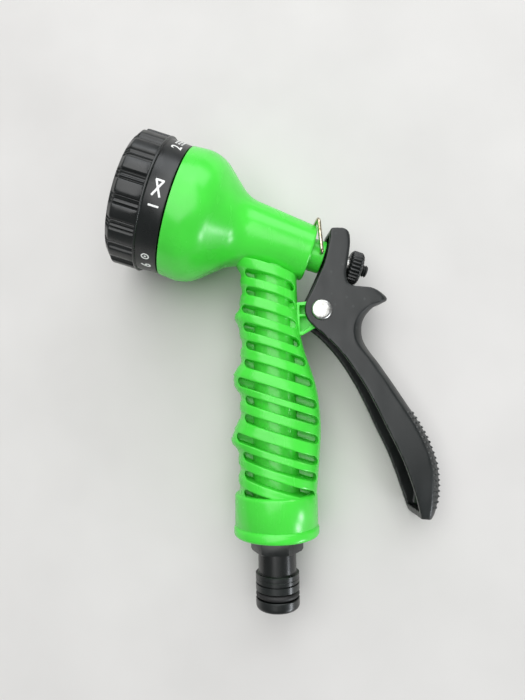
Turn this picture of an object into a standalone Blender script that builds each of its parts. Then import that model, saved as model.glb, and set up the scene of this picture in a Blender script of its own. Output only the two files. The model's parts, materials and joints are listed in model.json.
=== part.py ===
"""Garden hose spray nozzle with a six-pattern dial and a rear trigger.

The pieces are laid out in the nozzle's own frame, in millimetres:
x runs from the grip towards the trigger, y runs up the handle towards the barrel, and z runs
across the nozzle, so that z = 0 is its mid-plane. The origin is where the barrel's axis crosses
the handle's axis. The barrel has a frame of its own, whose Z runs along its axis to the dial and
whose X points up and away from the handle. One empty then lays the whole nozzle on its side, as
it comes to rest on a table: bell rim, trigger tip and end collar down.
"""

import math

import bmesh
import bpy
from mathutils import Matrix, Vector

MM = 0.001
GAP = 0.3
WELD = 1e-7

# How the nozzle lies on a flat surface.
REST_ROLL = 6.91
REST_PITCH = 2.73

# Barrel and bell, along the barrel's axis.
BARREL_LEAN = 18.0
RIM_S = 40.1
RIM_R = 26.45
BELL_TOP_S = 34.0
BELL_R = 26.9
BELL_ROUND = 15.0
NECK_ROUND = 13.0
NECK_FRONT_S = 9.5
NECK_FRONT_R = 13.8
REAR_S = -16.1
REAR_R = 11.5
REAR_FILLET = 0.9
BOSS_R = 6.7
BOSS_END_S = -21.6
SHELL_WALL = 2.2
BORE_R = 8.2
BORE_REAR_S = -13.5
SEAT_S = 12.0
SEAT_WALL = 2.5
SEAT_R = 4.5
STEM_HOLE_R = 2.9
LEDGE_R = 22.9
LEDGE_REAR_S = 27.4
LEDGE_S = 34.2
MOUTH_R = 24.3

# Inlet tube inside the grip.
TUBE_TOP_R = 7.6
TUBE_TOP_Y = -12.0
TUBE_END_R = 9.9
TUBE_END_Y = -117.3
TUBE_BORE_TOP_R = 5.4
TUBE_BORE_END_R = 6.9
THREAD_TOP_Y = -106.3
THREAD_R = 8.0

# Grip.
GRIP_TOP_T = -11.2
GRIP_END_Y = -100.6
GRIP_SPIGOT_R = 13.5
GRIP_SPIGOT_Y = -110.3
SLOT_COUNT = 13
SLOT_FIRST_Y = -14.4
SLOT_PITCH = 7.13
SLOT_WIDTH = 3.3
SLOT_EDGE = 1.7
WEB_HALF = 1.2

# Collar and quick connector.
COLLAR_TOP_Y = -100.9
COLLAR_R = 16.4
COLLAR_LIP_Y = -113.8
COLLAR_LIP_R = 16.9
COLLAR_END_Y = -117.6
FLANGE_END_Y = -123.6
FLANGE_FLAT = 9.0
FLANGE_TURN = -9.2
NECK_R = 7.5
SPIGOT_Y = -132.4
SPIGOT_R = 8.6
SPIGOT_END_Y = -145.7
ORING_Y = -140.0
ORING_WIRE = 1.2
CONNECTOR_BORE_R = 4.5

# Dial.
DIAL_REAR_S = 40.7
LABEL_REAR_R = 26.1
LABEL_FRONT_R = 26.6
EDGE_S = 48.7
EDGE_R = 27.5
KNURL_S = 49.5
LOBE_R = 27.4
LOBE_GROOVE_R = 26.3
LOBE_COUNT = 18
CHAMFER_S = 59.0
DIAL_FRONT_S = 61.2
DIAL_FRONT_R = 24.9
DIAL_BORE_R = 24.0
PATTERNS = 6
PATTERN_R = 14.0

# Trigger and its pivot.
PIVOT_X = 18.6
PIVOT_Y = -29.1
FORK_HALF = 7.8
CHEEK = 2.2
RIVET_R = 2.0
RIVET_HEAD_R = 4.05
LUG_HALF = 5.0
LUG_R = 5.0

# Valve stem, thrust washer and adjusting nut.
STEM_R = 2.5
STEM_TIP_S = -40.9
NOSE_S = -31.3
NOSE_ROUND = 12.0
WASHER_R = 3.4
WASHER_THICK = 0.8
NUT_R = 6.9
NUT_LENGTH = 5.6
NUT_TEETH = 24

# Lock clip.
CLIP_S = -20.0
CLIP_HALF = 9.0
CLIP_LEG = 13.4
CLIP_LEAN = 22.4
CLIP_WIRE = 0.8


def clear_scene():
    for old in list(bpy.data.objects):
        bpy.data.objects.remove(old, do_unlink=True)


def material(name, colour, roughness, metallic=0.0):
    """Return a Principled material, made once per name."""
    made = bpy.data.materials.get(name)
    if made:
        return made
    made = bpy.data.materials.new(name)
    made.use_nodes = True
    shader = made.node_tree.nodes["Principled BSDF"]
    shader.inputs["Base Color"].default_value = (*colour, 1.0)
    shader.inputs["Roughness"].default_value = roughness
    shader.inputs["Metallic"].default_value = metallic
    return made


def green():
    return material("green_plastic", (0.07, 0.75, 0.07), 0.3)


def black():
    return material("black_plastic", (0.015, 0.017, 0.017), 0.35)


def grey_black():
    return material("trigger_plastic", (0.035, 0.042, 0.04), 0.5)


def natural():
    return material("white_plastic", (0.75, 0.75, 0.72), 0.4)


def rubber():
    return material("rubber", (0.02, 0.02, 0.02), 0.7)


def steel():
    return material("steel", (0.6, 0.6, 0.6), 0.25, 1.0)


def brass():
    return material("brass", (0.75, 0.55, 0.25), 0.3, 1.0)


def empty(name, parent, matrix):
    """Return an empty placed by a matrix in its parent's frame."""
    made = bpy.data.objects.new(name, None)
    bpy.context.collection.objects.link(made)
    made.parent = parent
    made.matrix_local = matrix
    return made


def add_object(name, bm, parent, look):
    """Turn a bmesh in millimetres into a named object under its parent empty."""
    bmesh.ops.scale(bm, vec=(MM, MM, MM), verts=bm.verts)
    bmesh.ops.remove_doubles(bm, verts=bm.verts, dist=WELD)
    bmesh.ops.recalc_face_normals(bm, faces=bm.faces)
    mesh = bpy.data.meshes.new(name)
    bm.to_mesh(mesh)
    bm.free()
    made = bpy.data.objects.new(name, mesh)
    bpy.context.collection.objects.link(made)
    made.parent = parent
    mesh.materials.append(look)
    return made


def combine(target, bm, operation):
    """Cut a bmesh from an object of the same frame, or join it on, and keep the result."""
    tool = add_object("tool", bm, target.parent, target.data.materials[0])
    step = target.modifiers.new("combine", "BOOLEAN")
    step.object = tool
    step.operation = operation
    step.solver = "EXACT"
    bpy.context.view_layer.update()
    graph = bpy.context.evaluated_depsgraph_get()
    result = bpy.data.meshes.new_from_object(target.evaluated_get(graph), depsgraph=graph)
    target.modifiers.remove(step)
    bpy.data.objects.remove(tool, do_unlink=True)
    target.data = result
    result.name = target.name
    return target


def loose(target):
    """Take an object back to a bmesh in millimetres."""
    bm = bmesh.new()
    bm.from_mesh(target.data)
    bmesh.ops.scale(bm, vec=(1 / MM, 1 / MM, 1 / MM), verts=bm.verts)
    bpy.data.objects.remove(target, do_unlink=True)
    return bm


def finish(target, angle=35.0):
    target.data.shade_smooth()
    target.data.set_sharp_from_angle(angle=math.radians(angle))
    return target


def arc(centre, radius, start, end, steps):
    """Return points of an arc about centre, angles in degrees, both ends included."""
    points = []
    for i in range(steps + 1):
        turn = math.radians(start + (end - start) * i / steps)
        points.append((centre[0] + radius * math.cos(turn), centre[1] + radius * math.sin(turn)))
    return points


def lathe(profile, steps=48):
    """Turn (radius, height) points about Z. A profile that ends off the axis is closed."""
    bm = bmesh.new()
    verts = [bm.verts.new((r, 0.0, z)) for r, z in profile]
    edges = [bm.edges.new(pair) for pair in zip(verts, verts[1:])]
    if profile[0][0] > 0.0:
        edges.append(bm.edges.new((verts[-1], verts[0])))
    bmesh.ops.spin(
        bm, geom=verts + edges, cent=(0, 0, 0), axis=(0, 0, 1), angle=math.tau, steps=steps, use_merge=True
    )
    bmesh.ops.remove_doubles(bm, verts=bm.verts, dist=1e-4)
    bmesh.ops.recalc_face_normals(bm, faces=bm.faces)
    return bm


def rod(radius, low, high, steps=24, centre=(0.0, 0.0)):
    """Return a plain cylinder along Z between two heights."""
    bm = bmesh.new()
    place = Matrix.Translation((centre[0], centre[1], (low + high) / 2))
    bmesh.ops.create_cone(
        bm, cap_ends=True, segments=steps, radius1=radius, radius2=radius, depth=high - low, matrix=place
    )
    return bm


def loft(sections, closed_ring=False):
    """Join equal loops of 3-D points into one closed solid."""
    bm = bmesh.new()
    rings = [[bm.verts.new(point) for point in loop] for loop in sections]
    pairs = list(zip(rings, rings[1:]))
    if closed_ring:
        pairs.append((rings[-1], rings[0]))
    for low, high in pairs:
        for i in range(len(low)):
            j = (i + 1) % len(low)
            bm.faces.new((low[i], low[j], high[j], high[i]))
    if not closed_ring:
        bm.faces.new(rings[0])
        bm.faces.new(rings[-1])
    bmesh.ops.recalc_face_normals(bm, faces=bm.faces)
    return bm


def prism(outline, low, high):
    """Extrude an (x, y) outline along Z."""
    return loft([[(x, y, z) for x, y in outline] for z in (low, high)])


def turned(bm, matrix):
    bmesh.ops.transform(bm, matrix=matrix, verts=bm.verts)
    return bm


def merged(parts):
    """Put several bmeshes that don't touch into one."""
    whole = bmesh.new()
    for part in parts:
        holder = bpy.data.meshes.new("holder")
        part.to_mesh(holder)
        part.free()
        whole.from_mesh(holder)
        bpy.data.meshes.remove(holder)
    return whole


def wire(name, points, radius, parent, look, resolution=0):
    """Return a round wire along a list of points, as a filled curve object."""
    data = bpy.data.curves.new(name, "CURVE")
    data.dimensions = "3D"
    data.bevel_depth = radius * MM
    data.bevel_resolution = resolution
    data.use_fill_caps = True
    spline = data.splines.new("POLY")
    spline.points.add(len(points) - 1)
    for slot, point in zip(spline.points, points):
        slot.co = (*(Vector(point) * MM), 1.0)
    data.materials.append(look)
    made = bpy.data.objects.new(name, data)
    bpy.context.collection.objects.link(made)
    made.parent = parent
    return made


def coil(mean, low, high, turns, steps, centre=(0.0, 0.0)):
    """Return the points of a helix along Z between two heights."""
    points = []
    count = int(turns * steps)
    for i in range(count + 1):
        turn = math.tau * i / steps
        x = centre[0] + mean * math.cos(turn)
        y = centre[1] + mean * math.sin(turn)
        points.append((x, y, low + (high - low) * i / count))
    return points


def torus_profile(mean, tube, height, steps=10):
    return [(mean + x, height + z) for x, z in arc((0, 0), tube, 0, 360 * (steps - 1) / steps, steps - 1)]


def barrel_matrix():
    lean = math.radians(BARREL_LEAN)
    along = Vector((-math.cos(lean), math.sin(lean), 0.0))
    up = Vector((math.sin(lean), math.cos(lean), 0.0))
    return Matrix((up, along.cross(up), along)).transposed().to_4x4()


def handle_matrix():
    return Matrix(((1, 0, 0, 0), (0, 0, 1, 0), (0, -1, 0, 0), (0, 0, 0, 1)))


def at(x=0.0, y=0.0, z=0.0):
    return Matrix.Translation((x * MM, y * MM, z * MM))


def make_frames():
    """Lay out the empties: the resting nozzle, its barrel, its handle and its joints."""
    lie = Matrix.Rotation(math.radians(REST_PITCH), 4, "X") @ Matrix.Rotation(math.radians(REST_ROLL), 4, "Y")
    nozzle = empty("nozzle_frame", None, lie)
    frames = {"nozzle": nozzle}
    frames["barrel"] = empty("barrel_axis", nozzle, barrel_matrix())
    frames["handle"] = empty("handle_axis", nozzle, handle_matrix())
    frames["pivot"] = empty("trigger_axis", nozzle, at(PIVOT_X, PIVOT_Y))
    frames["clip"] = empty("clip_axis", frames["barrel"], at(0, 0, CLIP_S))
    return frames


# ---------------------------------------------------------------- body


def bell_line(extra=0.0):
    """Return the barrel's outer line, front to rear, as (radius, s), moved out by extra."""
    slope = math.atan2(NECK_FRONT_R - REAR_R, NECK_FRONT_S - REAR_S)
    hollow_s = NECK_FRONT_S - NECK_ROUND * math.sin(slope)
    hollow_r = NECK_FRONT_R + NECK_ROUND * math.cos(slope)
    round_r = BELL_R - BELL_ROUND
    reach = math.hypot(hollow_s - BELL_TOP_S, hollow_r - round_r)
    tilt = math.atan2(BELL_TOP_S - hollow_s, hollow_r - round_r)
    bend = math.degrees(tilt - math.acos((BELL_ROUND + NECK_ROUND) / reach))
    line = [(RIM_R + extra, RIM_S)]
    line += arc((round_r, BELL_TOP_S), BELL_ROUND + extra, 0, -bend, 5)
    line += arc((hollow_r, hollow_s), NECK_ROUND - extra, 180 - bend, 180 - math.degrees(slope), 4)
    return line


def body_profile():
    """Return the closed (radius, s) loop of the barrel, bell and rear boss with its bore."""
    outer = bell_line()
    outer += arc((REAR_R - REAR_FILLET, REAR_S + REAR_FILLET), REAR_FILLET, 0, -90, 2)
    outer += [(BOSS_R, REAR_S), (BOSS_R, BOSS_END_S + 0.4), (BOSS_R - 0.4, BOSS_END_S)]
    seat_front = SEAT_S + SEAT_WALL
    inner = [(STEM_HOLE_R, BOSS_END_S), (STEM_HOLE_R, BORE_REAR_S), (BORE_R, BORE_REAR_S)]
    inner += [(BORE_R, SEAT_S), (SEAT_R, SEAT_S), (SEAT_R, seat_front)]
    inner += [point for point in reversed(bell_line(-SHELL_WALL)) if point[1] > seat_front]
    inner = [point for point in inner if point[0] < LEDGE_R and point[1] < LEDGE_REAR_S]
    inner += [(LEDGE_R, LEDGE_REAR_S), (LEDGE_R, LEDGE_S), (MOUTH_R, LEDGE_S), (MOUTH_R, RIM_S)]
    return outer + inner


def tube_radius(y):
    share = (TUBE_TOP_Y - y) / (TUBE_TOP_Y - TUBE_END_Y)
    return TUBE_TOP_R + (TUBE_END_R - TUBE_TOP_R) * share


def to_barrel(bm):
    """Move a bmesh of the handle's frame into the barrel's frame."""
    return turned(bm, barrel_matrix().inverted() @ handle_matrix())


def inlet_tube(frames):
    """Return the inlet tube, its top hollowed to end inside the barrel's wall."""
    profile = [(0, -4.0), (tube_radius(-4.0), -4.0), (TUBE_END_R, TUBE_END_Y), (0, TUBE_END_Y)]
    tube = add_object("tube", to_barrel(lathe(profile, 24)), frames["barrel"], green())
    combine(tube, rod(BORE_R + 1.6, -40, 40, 30), "DIFFERENCE")
    return loose(tube)


def body_shell(frames):
    shell = add_object("body_shell", lathe(body_profile(), 40), frames["barrel"], green())
    combine(shell, inlet_tube(frames), "UNION")
    bore = [(0, 0), (TUBE_BORE_TOP_R, 0), (TUBE_BORE_END_R, THREAD_TOP_Y)]
    bore += [(THREAD_R, THREAD_TOP_Y), (THREAD_R, TUBE_END_Y - 1), (0, TUBE_END_Y - 1)]
    combine(shell, to_barrel(lathe(bore, 22)), "DIFFERENCE")
    cross = turned(rod(CLIP_WIRE + GAP, -BOSS_R - 1, BOSS_R + 1, 14), Matrix.Rotation(math.pi / 2, 4, "X"))
    place = Matrix.Translation((0, 0, CLIP_S)) @ Matrix.Rotation(0.1, 4, "Y")
    combine(shell, turned(cross, place), "DIFFERENCE")
    return finish(shell)


# ---------------------------------------------------------------- grip


def bump(y, centre, height, spread):
    return height * math.exp(-(((y - centre) / spread) ** 2))


def grip_front(y):
    """Return x of the grip's front edge, with its three finger bumps."""
    base = 13.2 + 1.9 * (-y / 100.0) ** 2
    bumps = bump(y, -31.5, 2.4, 4.6) + bump(y, -56.0, 3.3, 4.6) + bump(y, -79.2, 3.4, 5.0)
    return -(base + bumps + bump(y, -9.0, 1.6, 4.0))


def grip_back(y):
    """Return x of the grip's back edge: straight, then a long swell."""
    swell = 8.8 / (1.0 + math.exp((y + 50.5) / 6.3))
    return 9.7 + swell - 2.4 * max(0.0, (-y - 74.0) / 27.0) ** 1.3


def grip_half(y):
    """Return the grip's half depth across z."""
    return 10.8 + 4.2 * min(1.0, max(0.0, (-y - 12.0) / 80.0))


def grip_section(y, segments=24, power=2.3):
    """Return one oval loop of the grip at height y."""
    front = grip_front(y)
    back = grip_back(y)
    middle = (front + back) / 2
    reach = (back - front) / 2
    loop = []
    for i in range(segments):
        turn = math.tau * i / segments
        c, s = math.cos(turn), math.sin(turn)
        x = middle + reach * math.copysign(abs(c) ** (2 / power), c)
        z = grip_half(y) * math.copysign(abs(s) ** (2 / power), s)
        loop.append((x, y, z))
    return loop


def slot_outline(index):
    """Return a slanted slot with round ends, in (x, y)."""
    slope = math.radians(-BARREL_LEAN)
    y = SLOT_FIRST_Y - SLOT_PITCH * index
    half = SLOT_WIDTH / 2
    start = (grip_front(y) + SLOT_EDGE + half, y)
    length = 10.0
    for _ in range(20):
        end = (start[0] + length * math.cos(slope), y + length * math.sin(slope))
        length += (grip_back(end[1]) - SLOT_EDGE - half - end[0]) / math.cos(slope)
    end = (start[0] + length * math.cos(slope), y + length * math.sin(slope))
    lean = -BARREL_LEAN
    return arc(start, half, lean + 90, lean + 270, 3) + arc(end, half, lean - 90, lean + 90, 3)


def slot_cutters():
    cutters = []
    for index in range(SLOT_COUNT):
        outline = slot_outline(index)
        cutters.append(prism(outline, WEB_HALF, 20.0))
        cutters.append(prism(outline, -20.0, -WEB_HALF))
    return merged(cutters)


def grip_bore():
    """Return the clearance for the inlet tube, with its axis along y."""
    profile = [(0, 0.0), (tube_radius(0.0) + GAP, 0.0)]
    profile += [(TUBE_END_R + GAP, TUBE_END_Y), (0, TUBE_END_Y)]
    return turned(lathe(profile, 24), handle_matrix())


def grip_top_cutter():
    """Return all that the grip must leave to the barrel: its round, and all above its seam."""
    line = bell_line(GAP)
    profile = [(0, RIM_S)] + line + [(REAR_R + GAP, REAR_S - 20), (0, REAR_S - 20)]
    return turned(lathe(profile, 44), barrel_matrix())


def lug_outline():
    """Return the trigger lug's side view, about the rivet."""
    return [(6.0, -26.1)] + arc((PIVOT_X, PIVOT_Y), LUG_R, 128, -66, 10) + [(11.1, -38.9), (6.0, -38.9)]


def lug_pockets():
    """Return the pockets that leave the lug as a web with ribs round it and one across."""
    upper = [(11.6, -27.4), (13.2, -27.4), (12.9, -30.3), (11.6, -30.3)]
    lower = [(11.8, -31.8), (13.4, -31.8), (15.0, -34.4), (12.4, -36.4)]
    cutters = []
    for outline in (upper, lower):
        cutters.append(prism(outline, 1.0, LUG_HALF + 1))
        cutters.append(prism(outline, -LUG_HALF - 1, -1.0))
    return merged(cutters)


def handle_grip(frames):
    heights = [3.0, -10.0, -17.0, -24.0, -28.0, -31.5, -35.0, -40.0, -46.0]
    heights += [-52.0, -56.0, -60.0, -68.0, -74.5, -79.2, -84.0, -92.0, GRIP_END_Y]
    sections = [grip_section(y) for y in heights]
    grip = add_object("handle_grip", loft(sections), frames["nozzle"], green())
    combine(grip, slot_cutters(), "DIFFERENCE")
    combine(grip, prism(lug_outline(), -LUG_HALF, LUG_HALF), "UNION")
    spigot = turned(rod(GRIP_SPIGOT_R, GRIP_SPIGOT_Y, GRIP_END_Y + 1.0, 28), handle_matrix())
    combine(grip, spigot, "UNION")
    combine(grip, grip_bore(), "DIFFERENCE")
    combine(grip, grip_top_cutter(), "DIFFERENCE")
    above = prism([(GRIP_TOP_T, -40), (60, -40), (60, 40), (GRIP_TOP_T, 40)], -40, 60)
    combine(grip, turned(above, barrel_matrix()), "DIFFERENCE")
    combine(grip, lug_pockets(), "DIFFERENCE")
    hole = rod(RIVET_R + GAP, -LUG_HALF - 1, LUG_HALF + 1, 16, (PIVOT_X, PIVOT_Y))
    combine(grip, hole, "DIFFERENCE")
    return finish(grip)


# ---------------------------------------------------------------- hose end


def end_collar(frames):
    top_fillet = arc((COLLAR_R - 1.2, COLLAR_TOP_Y - 1.2), 1.2, 90, 0, 2)
    low_fillet = arc((COLLAR_LIP_R - 1.4, COLLAR_END_Y + 1.4), 1.4, 0, -90, 2)
    profile = [(GRIP_SPIGOT_R + GAP, COLLAR_TOP_Y)] + top_fillet
    profile += [(COLLAR_R, COLLAR_LIP_Y + 0.4), (COLLAR_LIP_R, COLLAR_LIP_Y - 0.5)] + low_fillet
    profile += [(TUBE_END_R + GAP, COLLAR_END_Y), (TUBE_END_R + GAP, GRIP_SPIGOT_Y - GAP)]
    profile += [(GRIP_SPIGOT_R + GAP, GRIP_SPIGOT_Y - GAP)]
    return finish(add_object("end_collar", lathe(profile, 36), frames["handle"], green()))


def connector_profile():
    """Return the connector's closed (radius, y) loop without its hex flange."""
    flange_top = COLLAR_END_Y - GAP
    thread_top = THREAD_TOP_Y - 2.2
    groove = ORING_WIRE + GAP
    profile = [(5.7, thread_top), (THREAD_R - GAP, thread_top), (THREAD_R - GAP, flange_top)]
    profile += [(NECK_R, flange_top), (NECK_R, SPIGOT_Y + 0.8)]
    profile += [(SPIGOT_R, SPIGOT_Y), (SPIGOT_R, -135.4), (SPIGOT_R - 0.3, -135.6), (SPIGOT_R, -135.8)]
    profile += [(SPIGOT_R, ORING_Y + groove), (5.9, ORING_Y + groove), (5.9, ORING_Y - groove)]
    profile += [(SPIGOT_R, ORING_Y - groove), (SPIGOT_R, SPIGOT_END_Y + 1.8), (SPIGOT_R - 1.6, SPIGOT_END_Y)]
    profile += [(CONNECTOR_BORE_R, SPIGOT_END_Y), (CONNECTOR_BORE_R, thread_top - 4.5)]
    profile.append((5.7, thread_top - 4.5))
    return profile


def quick_connector(frames):
    body = add_object("quick_connector", lathe(connector_profile(), 26), frames["handle"], black())
    corner = FLANGE_FLAT / math.cos(math.pi / 6)
    hexagon = arc((0, 0), corner, FLANGE_TURN, FLANGE_TURN + 300, 5)
    flange = add_object("tool", prism(hexagon, FLANGE_END_Y, COLLAR_END_Y - GAP), frames["handle"], black())
    chamfer = [(0, FLANGE_END_Y - 1), (corner - 1.6, FLANGE_END_Y - 1), (corner + 0.5, FLANGE_END_Y + 1.4)]
    chamfer += [(corner + 0.5, COLLAR_END_Y + 1), (0, COLLAR_END_Y + 1)]
    combine(flange, lathe(chamfer, 24), "INTERSECT")
    combine(flange, rod(NECK_R - 1.0, FLANGE_END_Y - 1, COLLAR_END_Y + 1, 26), "DIFFERENCE")
    combine(body, loose(flange), "UNION")
    return finish(body)


def hose_end_seals(frames):
    oring = lathe(torus_profile(SPIGOT_R - ORING_WIRE, ORING_WIRE, ORING_Y, 8), 28)
    finish(add_object("connector_oring", oring, frames["handle"], rubber()), 60)
    high = THREAD_TOP_Y - GAP
    low = THREAD_TOP_Y - 2.2 + GAP
    washer = lathe([(5.0, high), (THREAD_R - GAP, high), (THREAD_R - GAP, low), (5.0, low)], 24)
    finish(add_object("inlet_washer", washer, frames["handle"], rubber()))


def filter_screen(frames):
    """Make the domed inlet screen that sits in the connector's mouth."""
    top = THREAD_TOP_Y - 2.3
    low = top - 3.8
    dome = [(0, low + 1.9), (2.6, low + 1.2), (4.2, low + 0.5), (5.4, low + 0.5), (5.4, low)]
    dome += [(4.0, low), (2.4, low + 0.7), (0, low + 1.4)]
    screen = add_object("filter_screen", lathe(dome, 16), frames["handle"], steel())
    holes = [rod(0.75, low - 1, top, 6)]
    for i in range(6):
        turn = math.tau * i / 6
        holes.append(rod(0.75, low - 1, top, 6, (2.7 * math.cos(turn), 2.7 * math.sin(turn))))
    combine(screen, merged(holes), "DIFFERENCE")
    finish(screen)


# ---------------------------------------------------------------- dial mounting


def around(radius, index, count=PATTERNS):
    turn = math.tau * index / count
    return (radius * math.cos(turn), radius * math.sin(turn))


def manifold_disc(frames):
    """Make the fixed disc that closes the bell, with one outlet and the detent's pocket."""
    profile = [(0, 39.8), (24.0, 39.8), (24.0, 34.5), (6.0, 34.5), (5.5, 28.5), (0, 28.5)]
    disc = add_object("manifold_disc", lathe(profile, 40), frames["barrel"], black())
    port = (PATTERN_R, 0.0)
    pocket = (-19.8, 0.0)
    tools = [rod(5.3, 35.6, 41.0, 18, port), rod(2.2, 35.3, 41.0, 12, pocket), rod(2.5, 29.8, 41.0, 16)]
    combine(disc, merged(tools), "DIFFERENCE")
    combine(disc, rod(3.2, 30.0, 36.0, 16, port), "DIFFERENCE")
    finish(disc)


def dial_hardware(frames):
    barrel = frames["barrel"]
    seal = lathe([(3.3, 40.6), (4.6, 40.6), (5.0, 40.0), (5.0, 38.3), (3.3, 38.3)], 18)
    finish(add_object("port_seal", turned(seal, Matrix.Translation((PATTERN_R, 0, 0))), barrel, rubber()))
    wire("port_spring", coil(4.3, 36.1, 37.8, 2.0, 12, (PATTERN_R, 0)), 0.25, barrel, steel())
    ball = bmesh.new()
    bmesh.ops.create_icosphere(ball, subdivisions=2, radius=1.5, matrix=Matrix.Translation((-19.8, 0, 39.1)))
    finish(add_object("detent_ball", ball, barrel, steel()), 60)
    wire("detent_spring", coil(1.4, 35.7, 36.9, 2.0, 10, (-19.8, 0)), 0.16, barrel, steel())
    washer = lathe([(2.5, 59.1), (5.0, 59.1), (5.0, 58.5), (2.5, 58.5)], 20)
    finish(add_object("dial_washer", washer, barrel, steel()))


def dial_screw(frames):
    profile = [(0, 61.1), (2.4, 61.0), (3.6, 60.6), (4.1, 59.9), (4.1, 59.4)]
    profile += [(2.2, 59.4), (2.2, 30.6), (0, 30.1)]
    screw = add_object("dial_screw", lathe(profile, 20), frames["barrel"], steel())
    bar = [(-2.4, -0.45), (2.4, -0.45), (2.4, 0.45), (-2.4, 0.45)]
    combine(screw, prism(bar, 60.1, 62.0), "DIFFERENCE")
    combine(screw, prism([(y, x) for x, y in bar], 60.1, 62.0), "DIFFERENCE")
    finish(screw)


# ---------------------------------------------------------------- dial


def lobe_loop(height, lobe, groove):
    """Return one loop round the knurl: wide lobes with a sunk band between."""
    loop = []
    for i in range(LOBE_COUNT):
        middle = 360.0 * i / LOBE_COUNT
        for offset, radius in ((-5.0, lobe), (5.0, lobe), (6.2, groove), (13.8, groove)):
            turn = math.radians(middle + offset)
            loop.append((radius * math.cos(turn), radius * math.sin(turn), height))
    return loop


def dial_ring(frames):
    levels = [(DIAL_REAR_S, LABEL_REAR_R, LABEL_REAR_R), (EDGE_S, LABEL_FRONT_R, LABEL_FRONT_R)]
    levels += [(EDGE_S + 0.1, EDGE_R, EDGE_R), (KNURL_S, EDGE_R, EDGE_R)]
    levels += [(KNURL_S + 0.1, LOBE_R, LOBE_GROOVE_R), (CHAMFER_S, LOBE_R, LOBE_GROOVE_R)]
    levels += [(DIAL_FRONT_S, DIAL_FRONT_R, DIAL_FRONT_R - 0.2)]
    levels += [(DIAL_FRONT_S, DIAL_BORE_R, DIAL_BORE_R), (DIAL_REAR_S, DIAL_BORE_R, DIAL_BORE_R)]
    bm = loft([lobe_loop(*level) for level in levels], closed_ring=True)
    finish(add_object("dial_ring", bm, frames["barrel"], black()))


def selector_disc(frames):
    """Make the turning disc that brings one of six ports over the outlet."""
    disc = add_object("selector_disc", rod(23.7, 40.9, 43.2, 40), frames["barrel"], natural())
    tools = [rod(2.5, 40.0, 44.0, 16)]
    for i in range(PATTERNS):
        tools.append(rod(3.2, 40.0, 44.0, 12, around(PATTERN_R, i)))
        dimple = bmesh.new()
        x, y = around(19.8, i)
        place = Matrix.Translation((x, y, 40.0))
        bmesh.ops.create_icosphere(dimple, subdivisions=1, radius=1.5, matrix=place)
        tools.append(dimple)
    combine(disc, merged(tools), "DIFFERENCE")
    finish(disc)


def chamber_block(frames):
    """Make the six short tubes that lead the water from the selector to the face."""
    base = lathe([(2.5, 43.5), (23.7, 43.5), (23.7, 45.3), (5.0, 45.3), (5.0, 55.7), (2.5, 55.7)], 28)
    block = add_object("chamber_block", base, frames["barrel"], natural())
    tubes = [rod(6.3, 44.5, 55.7, 12, around(PATTERN_R, i)) for i in range(PATTERNS)]
    combine(block, merged(tubes), "UNION")
    bores = [rod(5.1, 40.0, 60.0, 12, around(PATTERN_R, i)) for i in range(PATTERNS)]
    combine(block, merged(bores), "DIFFERENCE")
    finish(block)


def face_holes():
    """Return the cutters of the six spray patterns in the front face."""
    low, high = 55.0, 60.0
    tools = [rod(2.5, low, high, 16)]
    tools.append(rod(1.5, low, high, 12, around(PATTERN_R, 0)))
    x, y = around(PATTERN_R, 1)
    tools.append(rod(0.6, low, high, 6, (x, y)))
    for i in range(6):
        turn = math.tau * i / 6
        tools.append(rod(0.6, low, high, 6, (x + 3.0 * math.cos(turn), y + 3.0 * math.sin(turn))))
    tools.append(rod(3.6, low, high, 20, around(PATTERN_R, 2)))
    tools.append(rod(2.8, low, high, 20, around(PATTERN_R, 3)))
    slot = prism([(-4.0, -0.6), (4.0, -0.6), (4.0, 0.6), (-4.0, 0.6)], low, high)
    x, y = around(PATTERN_R, 4)
    tools.append(turned(slot, Matrix.Translation((x, y, 0)) @ Matrix.Rotation(math.radians(330), 4, "Z")))
    tools.append(rod(3.6, low, high, 20, around(PATTERN_R, 5)))
    return merged(tools)


def spray_face(frames):
    face = add_object("spray_face", rod(23.7, 56.0, 58.2, 40), frames["barrel"], black())
    combine(face, face_holes(), "DIFFERENCE")
    finish(face)


def swirl_insert(name, index, hole, frames):
    """Make a small round insert whose hole spins the water into a cone or a mist."""
    profile = [(hole, 57.0), (hole, 58.2), (hole + 0.6, 58.9), (3.3, 58.9), (3.3, 56.2)]
    profile += [(2.2, 56.2), (2.2, 57.0)]
    x, y = around(PATTERN_R, index)
    bm = turned(lathe(profile, 16), Matrix.Translation((x, y, 0)))
    finish(add_object(name, bm, frames["barrel"], black()))


# ---------------------------------------------------------------- valve


def valve_stem(frames):
    """Make the pull rod: threaded tail, spring flange, and the pin that holds the seal."""
    profile = [(0, STEM_TIP_S), (STEM_R - 0.4, STEM_TIP_S), (STEM_R, STEM_TIP_S + 0.4), (STEM_R, 5.0)]
    profile += [(6.2, 5.0), (6.2, 7.2), (1.8, 7.2), (1.8, 12.0), (2.9, 12.1), (2.5, 13.4), (0, 13.6)]
    stem = add_object("valve_stem", lathe(profile, 20), frames["barrel"], black())
    finish(stem)
    seal = lathe([(2.1, 11.7), (3.4, 11.7), (6.2, 11.7), (6.8, 10.9), (6.2, 7.5), (2.1, 7.5)], 20)
    finish(add_object("valve_seal", seal, frames["barrel"], rubber()))
    points = coil(4.7, -8.1, 4.1, 6.0, 12)
    wire("return_spring", points, 0.55, frames["barrel"], steel())


def gland(frames):
    bush = [(2.8, -9.0), (7.9, -9.0), (7.9, -13.2), (5.4, -13.2), (5.4, -10.5), (2.8, -10.5)]
    finish(add_object("gland_bush", lathe(bush, 24), frames["barrel"], natural()))
    ring = lathe(torus_profile(3.95, 1.15, -12.0, 8), 20)
    finish(add_object("stem_oring", ring, frames["barrel"], rubber()), 60)


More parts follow.
